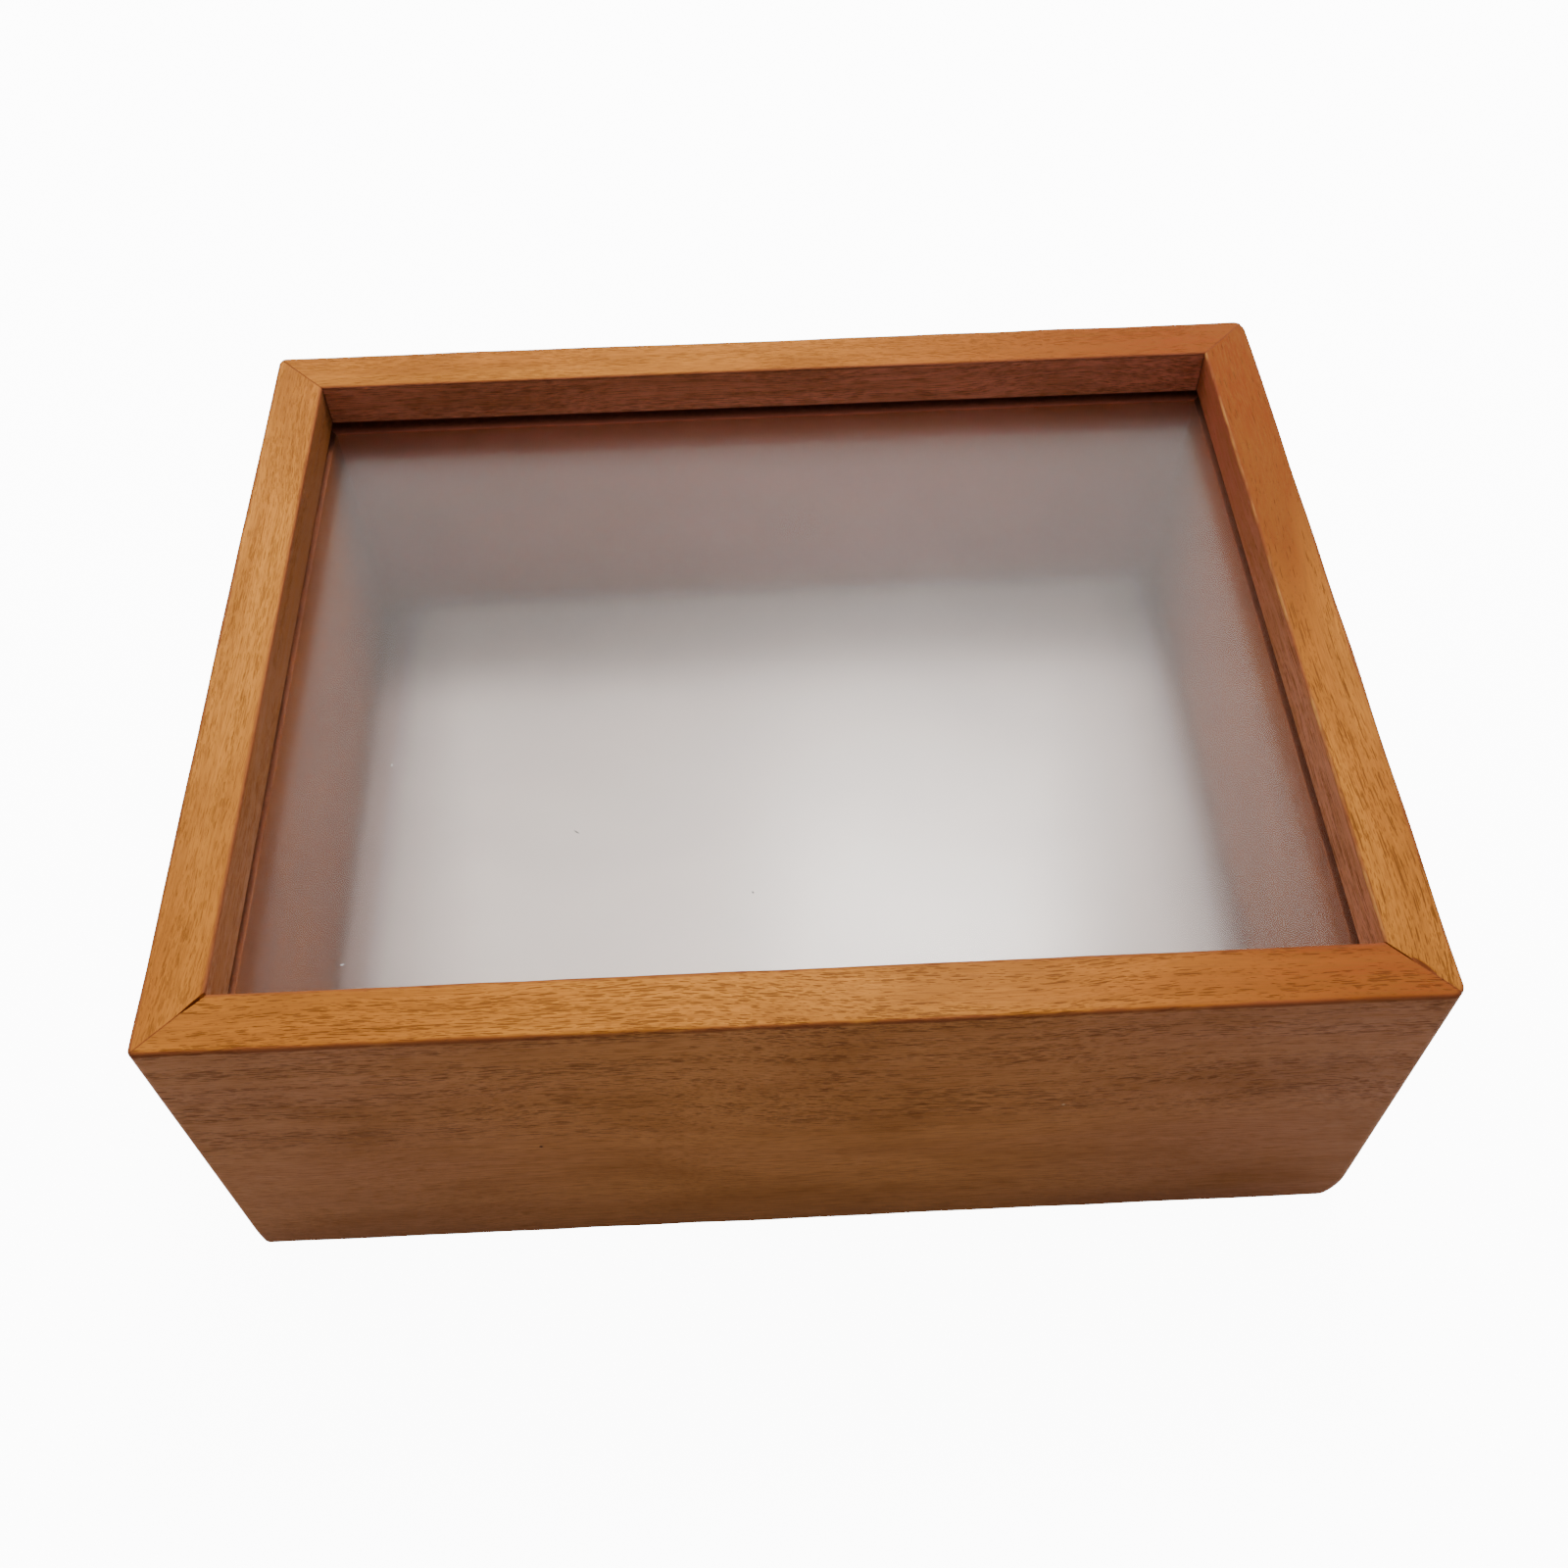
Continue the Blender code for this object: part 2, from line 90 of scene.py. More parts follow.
# Turn buttons, and their screws and the hangers' nails
BUTTON_TAPER = 0.7  # the small end's share of the big end's radius
BUTTON_HOLE = 1.1
BUTTON_EDGE = 0.25
BUTTON_STEPS = 28
HEAD_HEIGHT = 0.9
THREAD_ROOT = 0.78
THREAD_PITCH = 0.9
NAIL_HEAD = 0.5

# Hangers: the strip's middle stands off the rail by way of two slopes
HANGER_THICKNESS = 0.8
HANGER_CORNER = 1.2
HANGER_HOLE = 0.75
HANGER_HOLE_PLACE = 18.0
RAISED_HALF = 13.0
SLOPE = 2.0
SLOPE_STEPS = 10
TOOTH_PITCH = 2.4
TOOTH_DEPTH = 1.3
TOOTH_COUNT = 9
TOOTH_HALF_MOUTH = 1.056
TOOTH_HALF_TIP = 0.12

# Corners: radius, what it gains at the rear, tight gap of the mitre, and how far and from what inset it
# opens at the face
CORNERS = {
    "front_left": (1.6, 0.8, 0.03, 0.38, 8.2),
    "front_right": (3.0, 3.2, 0.04, 0.13, 5.0),
    "back_right": (3.0, 0.8, 0.02, 0.0, 0.0),
    "back_left": (1.9, 0.8, 0.05, 0.0, 0.0),
}
WORN_HEIGHT = 9.0
GAP_DEPTH = 3.0  # how far below the face a mitre's gap is closed

# Rails: quarter turns from the front rail's place, and the corners at the left and right ends as seen
# from outside
RAILS = {
    "front_rail": (0, "front_left", "front_right"),
    "right_rail": (1, "front_right", "back_right"),
    "back_rail": (2, "back_right", "back_left"),
    "left_rail": (3, "back_left", "front_left"),
}


def span(node):
    """A CAD node's lowest and highest corner, in millimetres."""
    low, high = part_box(node)
    return low / MM, high / MM


HAIR = 0.002  # keeps the fine rails inside the CAD model's box whatever the rounding
CASE_LOW, CASE_HIGH = span("front_rail")
CASE_WIDTH = span("right_rail")[1].x - span("left_rail")[0].x - HAIR
REAR, FACE = CASE_LOW.z, CASE_HIGH.z
CASE_DEPTH = span("back_rail")[1].y - span("front_rail")[0].y - HAIR
THICKNESS = CASE_HIGH.y - CASE_LOW.y
FILM_TOP = span("protective_film_outer")[1].z
PANE_BOTTOM = span("protective_film_inner")[0].z
PANEL_LOW, PANEL_HIGH = span("back_panel")
FOAM_TOP = span("foam_board")[1].z

GROOVE_DEPTH = 5.0
GROOVE_SHADOW = 0.6  # the open groove above the film, seen as a dark line
GROOVE_BOTTOM = PANE_BOTTOM - 0.3
REBATE_WIDTH = 4.0
REBATE_CEILING = PANEL_HIGH.z + 0.3


# ---- meshes


def soften(mesh):
    mesh.shade_smooth()
    mesh.set_sharp_from_angle(angle=math.radians(SHARP_ANGLE))


def add_object(name, data):
    obj = bpy.data.objects.new(name, data)
    bpy.context.scene.collection.objects.link(obj)
    return obj


def to_object(name, shape, smooth=True):
    """Makes an object of a bmesh in millimetres. Its transform stays at rest, so that textures that read
    the object's coordinates stay where they are."""
    bmesh.ops.recalc_face_normals(shape, faces=shape.faces)
    if shape.calc_volume(signed=True) < 0:
        bmesh.ops.reverse_faces(shape, faces=shape.faces)
    shape.transform(Matrix.Scale(MM, 4))
    mesh = bpy.data.meshes.new(name)
    shape.to_mesh(mesh)
    shape.free()
    if smooth:
        soften(mesh)
    return add_object(name, mesh)


def cut(obj, cutters):
    """Cuts the bmesh `cutters` out of obj and keeps the result as its mesh."""
    tool = to_object(obj.name + "_cutter", cutters, smooth=False)
    modifier = obj.modifiers.new("cut", "BOOLEAN")
    modifier.operation = "DIFFERENCE"
    modifier.solver = "EXACT"
    modifier.object = tool
    bpy.context.view_layer.update()
    evaluated = obj.evaluated_get(bpy.context.evaluated_depsgraph_get())
    mesh = bpy.data.meshes.new_from_object(evaluated)
    obj.modifiers.clear()
    obj.data = mesh
    bpy.data.objects.remove(tool)
    soften(mesh)


def fill_outline(outline):
    """Triangles, as corner numbers, that fill a flat outline. None is degenerate, even where many of the
    outline's points are in line."""
    points = [Vector(point) for point in outline]
    found = delaunay_2d_cdt(points, [], [list(range(len(points)))], 1, 1e-5)
    faces, originals = found[2], found[3]
    return [[originals[corner][0] for corner in face] for face in faces]


def add_rings(shape, rings, end_outlines=None):
    """A closed body through rings of points. Its two ends are filled as they are, or by way of the flat
    outlines given."""
    loops = [[shape.verts.new(point) for point in ring] for ring in rings]
    for lower, upper in zip(loops, loops[1:]):
        count = len(lower)
        for i in range(count):
            j = (i + 1) % count
            shape.faces.new((lower[i], lower[j], upper[j], upper[i]))
    if end_outlines is None:
        caps = [shape.faces.new(loops[0][::-1]), shape.faces.new(loops[-1])]
        bmesh.ops.triangulate(shape, faces=caps)
        return shape
    for loop, outline in zip((loops[0], loops[-1]), end_outlines):
        for corners in fill_outline(outline):
            shape.faces.new([loop[corner] for corner in corners])
    return shape


def arc(centre, radius, start, end, steps):
    """Points round a circle from one angle to another, in degrees, with both ends."""
    points = []
    for i in range(steps + 1):
        a = math.radians(start + (end - start) * i / steps)
        points.append((centre[0] + radius * math.cos(a), centre[1] + radius * math.sin(a)))
    return points


def add_turned(shape, profile, centre, steps):
    """A turned body from (radius, height) pairs."""
    rings = []
    for radius, height in profile:
        circle = arc(centre, radius, 0, 360, steps)[:-1]
        rings.append([(x, y, height) for x, y in circle])
    return add_rings(shape, rings)


def add_prism(shape, outline, bottom, top):
    return add_rings(shape, [[(x, y, z) for x, y in outline] for z in (bottom, top)])


def round_steps(steps):
    """(share in, share up) round a quarter circle, from where it leaves a level face to where it joins an
    upright one."""
    quarter = [math.radians(90 * i / steps) for i in range(steps + 1)]
    return [(1 - math.sin(a), 1 - math.cos(a)) for a in quarter]


def dome(inner, outer, bottom, rise, steps, power=1.0):
    """(radius, height) pairs that swell from one radius to another; a power under 1 makes a fuller dome."""
    pairs = []
    for i in range(1, steps + 1):
        a = math.pi / 2 * i / steps
        pairs.append((inner + (outer - inner) * math.sin(a) ** power, bottom + rise * (1 - math.cos(a))))
    return pairs


def between(a, b, steps):
    """Evenly spaced values strictly between a and b."""
    return [a + (b - a) * i / steps for i in range(1, steps)]


def rounded_outline(half_x, half_y, radius, counts):
    """A rectangle with round corners. It has the same number of points whatever its size: `counts` are
    the steps along its sides in x and in y."""
    points = []
    for sx, sy, start in ((1, 1, 0), (-1, 1, 90), (-1, -1, 180), (1, -1, 270)):
        corner = (sx * (half_x - radius), sy * (half_y - radius))
        points += arc(corner, radius, start, start + 90, 4)
        along_x = start in (0, 180)
        count = counts[0] if along_x else counts[1]
        reach = 2 * ((half_x if along_x else half_y) - radius)
        last = points[-1]
        for i in range(1, count):
            step = reach * i / count
            points.append((last[0] - sx * step, last[1]) if along_x else (last[0], last[1] - sy * step))
    return points


def wobble(along, seed, pitch):
    """A smooth value from about -1 to 1 that changes over a length of about `pitch`."""
    return 2.0 * noise.noise(Vector((along / pitch, seed * 7.31, 0.37)))


def rail_section(along, seed, groove_top):
    """(inset, height) round the section: up the outer face, in over the face and down the inner wall."""
    arris = ARRIS + ARRIS_WOBBLE * wobble(along, seed, 21.0)
    low_arris = ARRIS + ARRIS_WOBBLE * wobble(along, seed + 3.0, 17.0)
    inner_arris = INNER_ARRIS * (1 + 0.3 * wobble(along, seed + 5.0, 9.0))
    points = [(low_arris * s, REAR + low_arris * r) for s, r in round_steps(ARRIS_STEPS)]
    worn_top = REAR + WORN_HEIGHT
    points += [(0.0, z) for z in between(REAR + low_arris, worn_top, 7)]
    points += [(0.0, worn_top)] + [(0.0, z) for z in between(worn_top, FACE - arris, 11)]
    points += [(arris * s, FACE - arris * r) for s, r in reversed(round_steps(ARRIS_STEPS))]
    points += [(u, FACE) for u in between(arris, THICKNESS - inner_arris, 18)]
    points += [(THICKNESS - inner_arris * s, FACE - inner_arris * r) for s, r in round_steps(4)]
    points += [(THICKNESS, z) for z in between(FACE - inner_arris, groove_top, 6)]
    points += [
        (THICKNESS, groove_top + 0.12),
        (THICKNESS - 0.12, groove_top),
        (THICKNESS - GROOVE_DEPTH, groove_top),
        (THICKNESS - GROOVE_DEPTH, GROOVE_BOTTOM),
        (THICKNESS, GROOVE_BOTTOM),
    ]
    points += [(THICKNESS, z) for z in between(GROOVE_BOTTOM, REBATE_CEILING, 9)]
    rebate = THICKNESS - REBATE_WIDTH
    points += [(THICKNESS, REBATE_CEILING), (rebate, REBATE_CEILING), (rebate, REAR)]
    points += [(u, REAR) for u in between(rebate, low_arris, 4)]
    return points


def end_place(share, inset, half_length, radius):
    """(along, inset) on a line that keeps `inset` from the outline, from the fine stretch's start at
    share 0 to the mitre at share 1."""
    start = half_length - END_LENGTH
    if inset >= radius:
        return start + (half_length - inset - start) * share, inset
    turn = radius - inset
    straight = half_length - radius - start
    reach = (straight + turn * math.pi / 4) * share
    if reach <= straight:
        return start + reach, inset
    angle = (reach - straight) / turn
    return half_length - radius + turn * math.sin(angle), radius - turn * math.cos(angle)


def corner_radius(corner, height):
    """The corners wear rounder towards the rear, where the box is set down."""
    radius, gain = CORNERS[corner][:2]
    low_share = max(0.0, 1 - (height - REAR) / WORN_HEIGHT)
    return radius + gain * low_share * low_share


def mitre_gap(corner, inset, height):
    """How far a rail's end stands back from the mitre. A gap opens at the face only, and glue closes it
    further down."""
    _, _, tight, opening, from_inset = CORNERS[corner]
    below_face = FACE - height
    if inset < from_inset or below_face > GAP_DEPTH:
        return tight
    share = (inset - from_inset) / (THICKNESS - from_inset)
    wide = opening * math.sin(min(1.0, share * 1.4) * math.pi / 2)
    return tight + wide * (1 - below_face / GAP_DEPTH)


def chip_depth(name, end, inset, from_mitre):
    """How deep a splinter is missing by the mitre, at the front right corner only."""
    if (name, end) != ("right_rail", -1):
        return 0.0
    across = (inset - CHIP_INSET) / CHIP_HALF_WIDTH
    along = from_mitre / CHIP_REACH
    return CHIP_DEPTH * max(0.0, 1 - across * across - along * along)


def groove_top_at(name, along):
    """The back rail's groove is planed a little higher towards its left end."""
    lift = GROOVE_LIFT * along if name == "back_rail" else 0.0
    return FILM_TOP + GROOVE_SHADOW + lift


def rail_stations(name, half_length, left, right):
    """Rings of (along, inset, height) from one mitre to the other."""
    seed = list(RAILS).index(name) * 11.0
    middle = half_length - END_LENGTH
    count = round(2 * middle / STATION_PITCH)
    shares = [1 - (i / END_STEPS) ** 2 for i in range(END_STEPS)]
    stations = [(-1, left, share) for share in shares]
    stations += [(0, None, -middle + 2 * middle * i / count) for i in range(count + 1)]
    stations += [(1, right, share) for share in reversed(shares)]
    rings = []
    for end, corner, value in stations:
        ring = []
        rough_along = value if end == 0 else end * (middle + END_LENGTH * value)
        for inset, height in rail_section(rough_along, seed, groove_top_at(name, rough_along)):
            if end == 0:
                ring.append((value, inset, height))
                continue
            radius = corner_radius(corner, height)
            along, moved = end_place(value, inset, half_length, radius)
            from_mitre = half_length - along - moved
            along -= mitre_gap(corner, moved, height) * math.sqrt(2) * value ** 8
            if height > FACE - 1.5:
                height -= chip_depth(name, end, moved, from_mitre)
            ring.append((end * along, moved, height))
        rings.append(ring)
    return rings


def rail_turn(turns):
    return Matrix.Rotation(math.radians(90 * turns), 4, "Z")


def rail_depth(turns):
    """Across the case from one rail's outer face to the facing rail's, and that rail's length."""
    return (CASE_DEPTH, CASE_WIDTH) if turns % 2 == 0 else (CASE_WIDTH, CASE_DEPTH)


def hole_cutters(turns):
    """Pilot holes for the screws and nails, and the V-nails' slots, where the CAD model has them."""
    cutters = bmesh.new()
    depth, _ = rail_depth(turns)
    unturn = rail_turn(-turns)
    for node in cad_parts:
        low, high = span(node)
        centre = (low + high) / 2
        local = unturn @ centre
        if local.y > -depth / 2 + THICKNESS or high.z < REAR + 1.0:
            continue
        if node.startswith(("turn_button_screw", "hanger_nail")):
            shank = SCREW_SHANK if node.startswith("turn") else NAIL_SHANK
            radius = shank + PILOT_CLEARANCE
            add_turned(cutters, [(radius, REAR - 3.0), (radius, high.z + 0.1)], centre, 24)
        if node.startswith("v_nail"):
            add_v_slot(cutters, node)
    return cutters


def add_v_slot(cutters, node):
    """Cuts just round a V-nail: it has an upright bend at one corner of its box and a leg along each
    side that meets there."""
    low, high = span(node)
    sx = 1 if low.x > 0 else -1
    sy = 1 if low.y > 0 else -1
    bend_x = low.x if sx > 0 else high.x
    bend_y = low.y if sy > 0 else high.y
    near = -PILOT_CLEARANCE
    thick = V_NAIL_THICKNESS + PILOT_CLEARANCE
    far = high.x - low.x + PILOT_CLEARANCE
    outline = [(near, near), (far, near), (far, thick), (thick, thick), (thick, far), (near, far)]
    placed = [(bend_x + sx * x, bend_y + sy * y) for x, y in outline]
    add_prism(cutters, placed, REAR - 3.0, high.z + 0.1)


def make_rail(name):
    turns, left, right = RAILS[name]
    depth, length = rail_depth(turns)
    rings = rail_stations(name, length / 2, left, right)
    placed = [[(a, u - depth / 2, z) for a, u, z in ring] for ring in rings]
    ends = [[(u, z) for _, u, z in ring] for ring in (rings[0], rings[-1])]
    shape = add_rings(bmesh.new(), placed, ends)
    shape.transform(rail_turn(turns))
    obj = to_object(name + "_fine", shape)
    cut(obj, hole_cutters(turns))
    set_place(obj, name, depth, length / 2)
    return obj


def from_outline(name, along, inset, height, half_length):
    """Distance in from the box's outline, which is the inset except round the corners."""
    _, left, right = RAILS[name]
    radius = corner_radius(left if along < 0 else right, height)
    past = abs(along) - (half_length - radius)
    if past <= 0 or inset >= radius:
        return inset
    return radius - math.hypot(past, radius - inset)


def set_place(obj, name, depth, half_length):
    """Stores each point's (distance along the rail, inset from its outer face, height), in mm, and its
    distance from the box's outline."""
    turns = RAILS[name][0]
    mesh = obj.data
    count = len(mesh.vertices)
    points = np.empty(count * 3, np.float32)
    mesh.vertices.foreach_get("co", points)
    points = points.reshape(count, 3) / MM
    local = points @ np.array(rail_turn(-turns).to_3x3()).T
    local[:, 1] += depth / 2
    attribute = mesh.attributes.new("place", "FLOAT_VECTOR", "POINT")
    attribute.data.foreach_set("vector", local.astype(np.float32).ravel())
    edge = [from_outline(name, *map(float, point), half_length) for point in local]
    mesh.attributes.new("outline", "FLOAT", "POINT").data.foreach_set("value", edge)


# ---- materials


class Nodes:
    """One material's node tree, with short ways to add and join nodes."""

    def __init__(self, name):
        self.material = bpy.data.materials.new(name)
        self.material.use_nodes = True
        self.tree = self.material.node_tree
        self.shader = self.tree.nodes["Principled BSDF"]

    def put(self, socket, value):
        if isinstance(value, bpy.types.NodeSocket):
            self.tree.links.new(value, socket)
        elif value is not None:
            socket.default_value = value

    def add(self, kind, **settings):
        node = self.tree.nodes.new(kind)
        for key, value in settings.items():
            setattr(node, key, value)
        return node

    def set(self, name, value):
        self.put(self.shader.inputs[name], value)

    def attribute(self, name, output="Vector"):
        return self.add("ShaderNodeAttribute", attribute_name=name).outputs[output]

    def coordinates(self):
        """The object's own coordinates, in mm."""
        texture = self.add("ShaderNodeTexCoord").outputs["Object"]
        return self.scaled(texture, (1000, 1000, 1000))

    def fed(self, kind, values, **settings):
        """A node with its first inputs filled in order."""
        node = self.add(kind, **settings)
        for socket, value in zip(node.inputs, values):
            self.put(socket, value)
        return node

    def separate(self, vector):
        return self.fed("ShaderNodeSeparateXYZ", [vector]).outputs[:]

    def combine(self, x, y, z):
        return self.fed("ShaderNodeCombineXYZ", (x, y, z)).outputs[0]

    def scaled(self, vector, scale, offset=(0, 0, 0)):
        node = self.add("ShaderNodeMapping")
        self.put(node.inputs["Vector"], vector)
        node.inputs["Scale"].default_value = scale
        node.inputs["Location"].default_value = offset
        return node.outputs[0]

    def math(self, operation, a, b=None, clamp=False):
        return self.fed("ShaderNodeMath", (a, b), operation=operation, use_clamp=clamp).outputs[0]

    def times(self, a, b):
        return self.math("MULTIPLY", a, b)

    def minus(self, a, b):
        return self.math("SUBTRACT", a, b)

    def cells(self, vector, cell, seed):
        """Coordinates in cells of the given size in mm along each axis, at a place set by the seed."""
        return self.scaled(vector, tuple(1 / c for c in cell), (seed, seed * 1.7, seed * 0.6))

    def noise(self, vector, cell, seed, detail, roughness=0.5):
        node = self.add("ShaderNodeTexNoise")
        self.put(node.inputs["Vector"], self.cells(vector, cell, seed))
        node.inputs["Scale"].default_value = 1.0
        node.inputs["Detail"].default_value = detail
        node.inputs["Roughness"].default_value = roughness
        return node.outputs["Fac"]

    def pores(self, vector, cell, seed):
        """Distance from the nearest of many scattered points, in cells: small inside a pore."""
        node = self.add("ShaderNodeTexVoronoi", feature="F1")
        self.put(node.inputs["Vector"], self.cells(vector, cell, seed))
        node.inputs["Scale"].default_value = 1.0
        return node.outputs["Distance"]

    def distance(self, vector, point):
        return self.fed("ShaderNodeVectorMath", (vector, point), operation="DISTANCE").outputs["Value"]

    def spread(self, value, low, high, to_low=0.0, to_high=1.0, kind="LINEAR"):
        """Maps low..high to to_low..to_high, clamped."""
        values = (value, low, high, to_low, to_high)
        return self.fed("ShaderNodeMapRange", values, clamp=True, interpolation_type=kind).outputs[0]

    def ease(self, *values):
        """The same, with a smooth start and end."""
        return self.spread(*values, kind="SMOOTHSTEP")

    def mix(self, share, a, b):
        node = self.add("ShaderNodeMix", data_type="RGBA")
        self.put(node.inputs["Factor"], share)
        colour_in = [s for s in node.inputs if s.type == "RGBA"]
        for socket, value in zip(colour_in, (a, b)):
            self.put(socket, (*value, 1.0) if isinstance(value, tuple) else value)
        return [s for s in node.outputs if s.type == "RGBA"][0]

    def bump(self, height, distance, strength):
        node = self.add("ShaderNodeBump")
        node.inputs["Strength"].default_value = strength
        node.inputs["Distance"].default_value = distance
        self.put(node.inputs["Height"], height)
        return node.outputs[0]


# The wood's colours
GOLD = (0.50, 0.182, 0.026)
ORANGE = (0.265, 0.060, 0.012)
BROWN = (0.24, 0.080, 0.014)
DULL = (0.45, 0.200, 0.105)
FOOT = (0.32, 0.118, 0.060)
PORE = (0.11, 0.034, 0.009)
WORN = (0.60, 0.29, 0.07)
PALE = (0.72, 0.290, 0.045)
STAIN = (0.20, 0.052, 0.019)
# A painted haze veil, which the inner walls' colour takes below the pane
PAINTED_HAZE_VEIL = (0.0, 0.006, 0.007)

# What the rails' wood has in common, and what each rail has of its own. Places along a rail run from its
# left end to its right end, seen from outside, with 0 in the middle.
# turn: where the tone goes from gold to orange
# pores_along, pore_heights: from where to where the pores open, along and, on the outer face, upwards
# dull, pale: shares of DULL outside at the middle and the ends, and of PALE at the middle; DULL is painted
# shade on the outer faces, strongest on the front rail
# inner_wall, inner_far: the inner wall's colour, and its colour at the right end if it changes; set rail
# by rail to how bright each wall stands in its light, so they hold painted light and shade with the stain
# under_pane, groove: painted shade that scales the inner wall's colour under the pane and in the groove
PLAIN_WOOD = {
    "pores_along": (-140.0, -130.0),
    "pore_length": 5.0,
    "pore_share": 0.40,
    "pore_heights": (20.0, 50.0),
    "orange": ORANGE,
    "inner_far": None,
    "dull": (0.28, 0.36),
    "pale": 0.0,
    "wear": 0.0,
}
WOODS = {
    "front_rail": {
        "seed": 3.1, "turn": (10.0, 150.0), "pore_length": 6.0, "pore_share": 0.75,
        "pore_heights": (40.0, 60.0), "pale": 0.40, "dull": (0.55, 0.78),
        "inner_wall": (0.28, 0.090, 0.026), "under_pane": 0.62, "groove": 0.4,
    },
    "right_rail": {
        "seed": 17.7, "turn": (-40.0, 60.0), "pores_along": (35.0, -30.0), "pore_length": 15.0,
        "pore_share": 0.85, "pore_heights": (10.0, 40.0), "wear": 0.45,
        "inner_wall": (0.52, 0.195, 0.108), "under_pane": 0.40, "groove": 0.4,
        "inner_far": (0.36, 0.082, 0.047), "orange": (0.215, 0.047, 0.007),
    },
    "back_rail": {
        "seed": 29.3, "turn": (50.0, -70.0), "pore_share": 0.35, "pore_heights": (20.0, 60.0),
        "inner_wall": (0.74, 0.235, 0.145), "under_pane": 0.38, "groove": 1.0, "pale": 0.4,
    },
    "left_rail": {
        "seed": 41.9, "turn": (160.0, 240.0), "pale": 0.5, "inner_wall": (0.175, 0.060, 0.029),
        "inner_far": (0.33, 0.130, 0.064), "under_pane": 0.90, "groove": 1.0,
    },
}

# Small marks on the outer face: (along, inset, height), radius, colour
MARKS = {
    "front_rail": (
        ((-55.4, 0.0, 49.8), 0.55, (0.05, 0.016, 0.006)),
        ((54.6, 0.0, 58.8), 0.50, (0.60, 0.36, 0.20)),
    ),
}


def board_places(n, seed):
    """Where a point lies on its board, in mm, and the grain's own coordinates, which drift slowly across
    the board."""
    at = SimpleNamespace(place=n.attribute("place"), from_outer=n.attribute("outline", "Fac"))
    at.along, at.inset, at.height = n.separate(at.place)
    at.from_middle = n.math("ABSOLUTE", at.along)
    at.from_inner = n.minus(THICKNESS, at.inset)
    at.below_face = n.minus(FACE, at.height)
    at.outer = n.spread(at.from_outer, 0.0, 0.6, 1.0, 0.0)
    drift = n.noise(at.place, (75, 60, 60), seed, detail=1.0)
    drift = n.spread(drift, 0.3, 0.7, -2.2, 2.2)
    shift = n.math("ADD", drift, n.times(at.along, 0.012))
    at.grain = n.combine(at.along, n.math("ADD", at.inset, shift), n.math("ADD", at.height, shift))
    return at


def ground_colour(n, at, look):
    """Gold to orange along the rail and paler by the middle, with painted shade that dulls the outer
    and the rear face.
    """
    tone = n.noise(at.grain, (130, 13, 13), look["seed"] + 1, detail=2.0)
    along_share = n.ease(at.along, *look["turn"])
    tone_share = n.math("ADD", along_share, n.spread(tone, 0.35, 0.65, -0.1, 0.45), clamp=True)
    colour = n.mix(tone_share, GOLD, look["orange"])
    if look["pale"]:
        pale = n.ease(at.from_middle, 10.0, 110.0, look["pale"], 0.0)
        colour = n.mix(pale, colour, PALE)
    # Painted shade: the outer faces and the rear face take a duller colour.
    dull = n.ease(at.from_middle, 30.0, 105.0, *look["dull"])
    rear = n.spread(at.height, REAR + 0.6, REAR + 0.1, 0.0, 0.45)
    return n.mix(n.math("MAXIMUM", n.times(at.outer, dull), rear), colour, DULL)


def add_inner_wall(n, at, look, colour):
    # Painted light and shade: each rail's inner wall has its own colour, set to how bright that wall stands
    # in its light, and below the groove it is darkened by painted shade and greyed by the painted haze
    # veil.
    wall = look["inner_wall"]
    pane_wall = tuple(look["under_pane"] * c + extra for c, extra in zip(wall, PAINTED_HAZE_VEIL))
    inside = n.ease(at.from_inner, 0.35, 0.05, 0.0, 0.9)
    if look["inner_far"]:
        wall = n.mix(n.ease(at.along, -40.0, 70.0), wall, look["inner_far"])
    colour = n.mix(inside, colour, wall)
    under_pane = n.spread(at.height, GROOVE_BOTTOM - 0.5, GROOVE_BOTTOM, 1.0, 0.0)
    return n.mix(n.times(inside, under_pane), colour, pane_wall)


def open_pores(n, at, look):
    """A mask of short dashes in bands, fewer low on the outer face."""
    seed = look["seed"]
    long_pore = n.pores(at.grain, (look["pore_length"], 0.44, 0.44), seed + 5)
    short_pore = n.pores(at.grain, (2.4, 0.32, 0.32), seed + 8)
    band = n.noise(at.grain, (70, 3.4, 3.4), seed + 6, detail=3.0)
    low_fade = n.ease(at.height, *look["pore_heights"])
    outer_fade = n.times(at.outer, n.minus(1.0, low_fade))
    outer_fade = n.minus(1.0, outer_fade)
    here = n.ease(at.along, *look["pores_along"], 0.25, 1.0)
    dense = n.times(n.spread(band, 0.34, 0.56), n.times(here, outer_fade))
    size = n.spread(dense, 0.0, 1.0, 0.12, 0.37)
    long_dash = n.ease(n.minus(size, long_pore), -0.02, 0.07)
    short_dash = n.ease(n.minus(size, short_pore), 0.0, 0.10, 0.0, 0.7)
    return n.times(n.math("MAXIMUM", long_dash, short_dash), outer_fade)


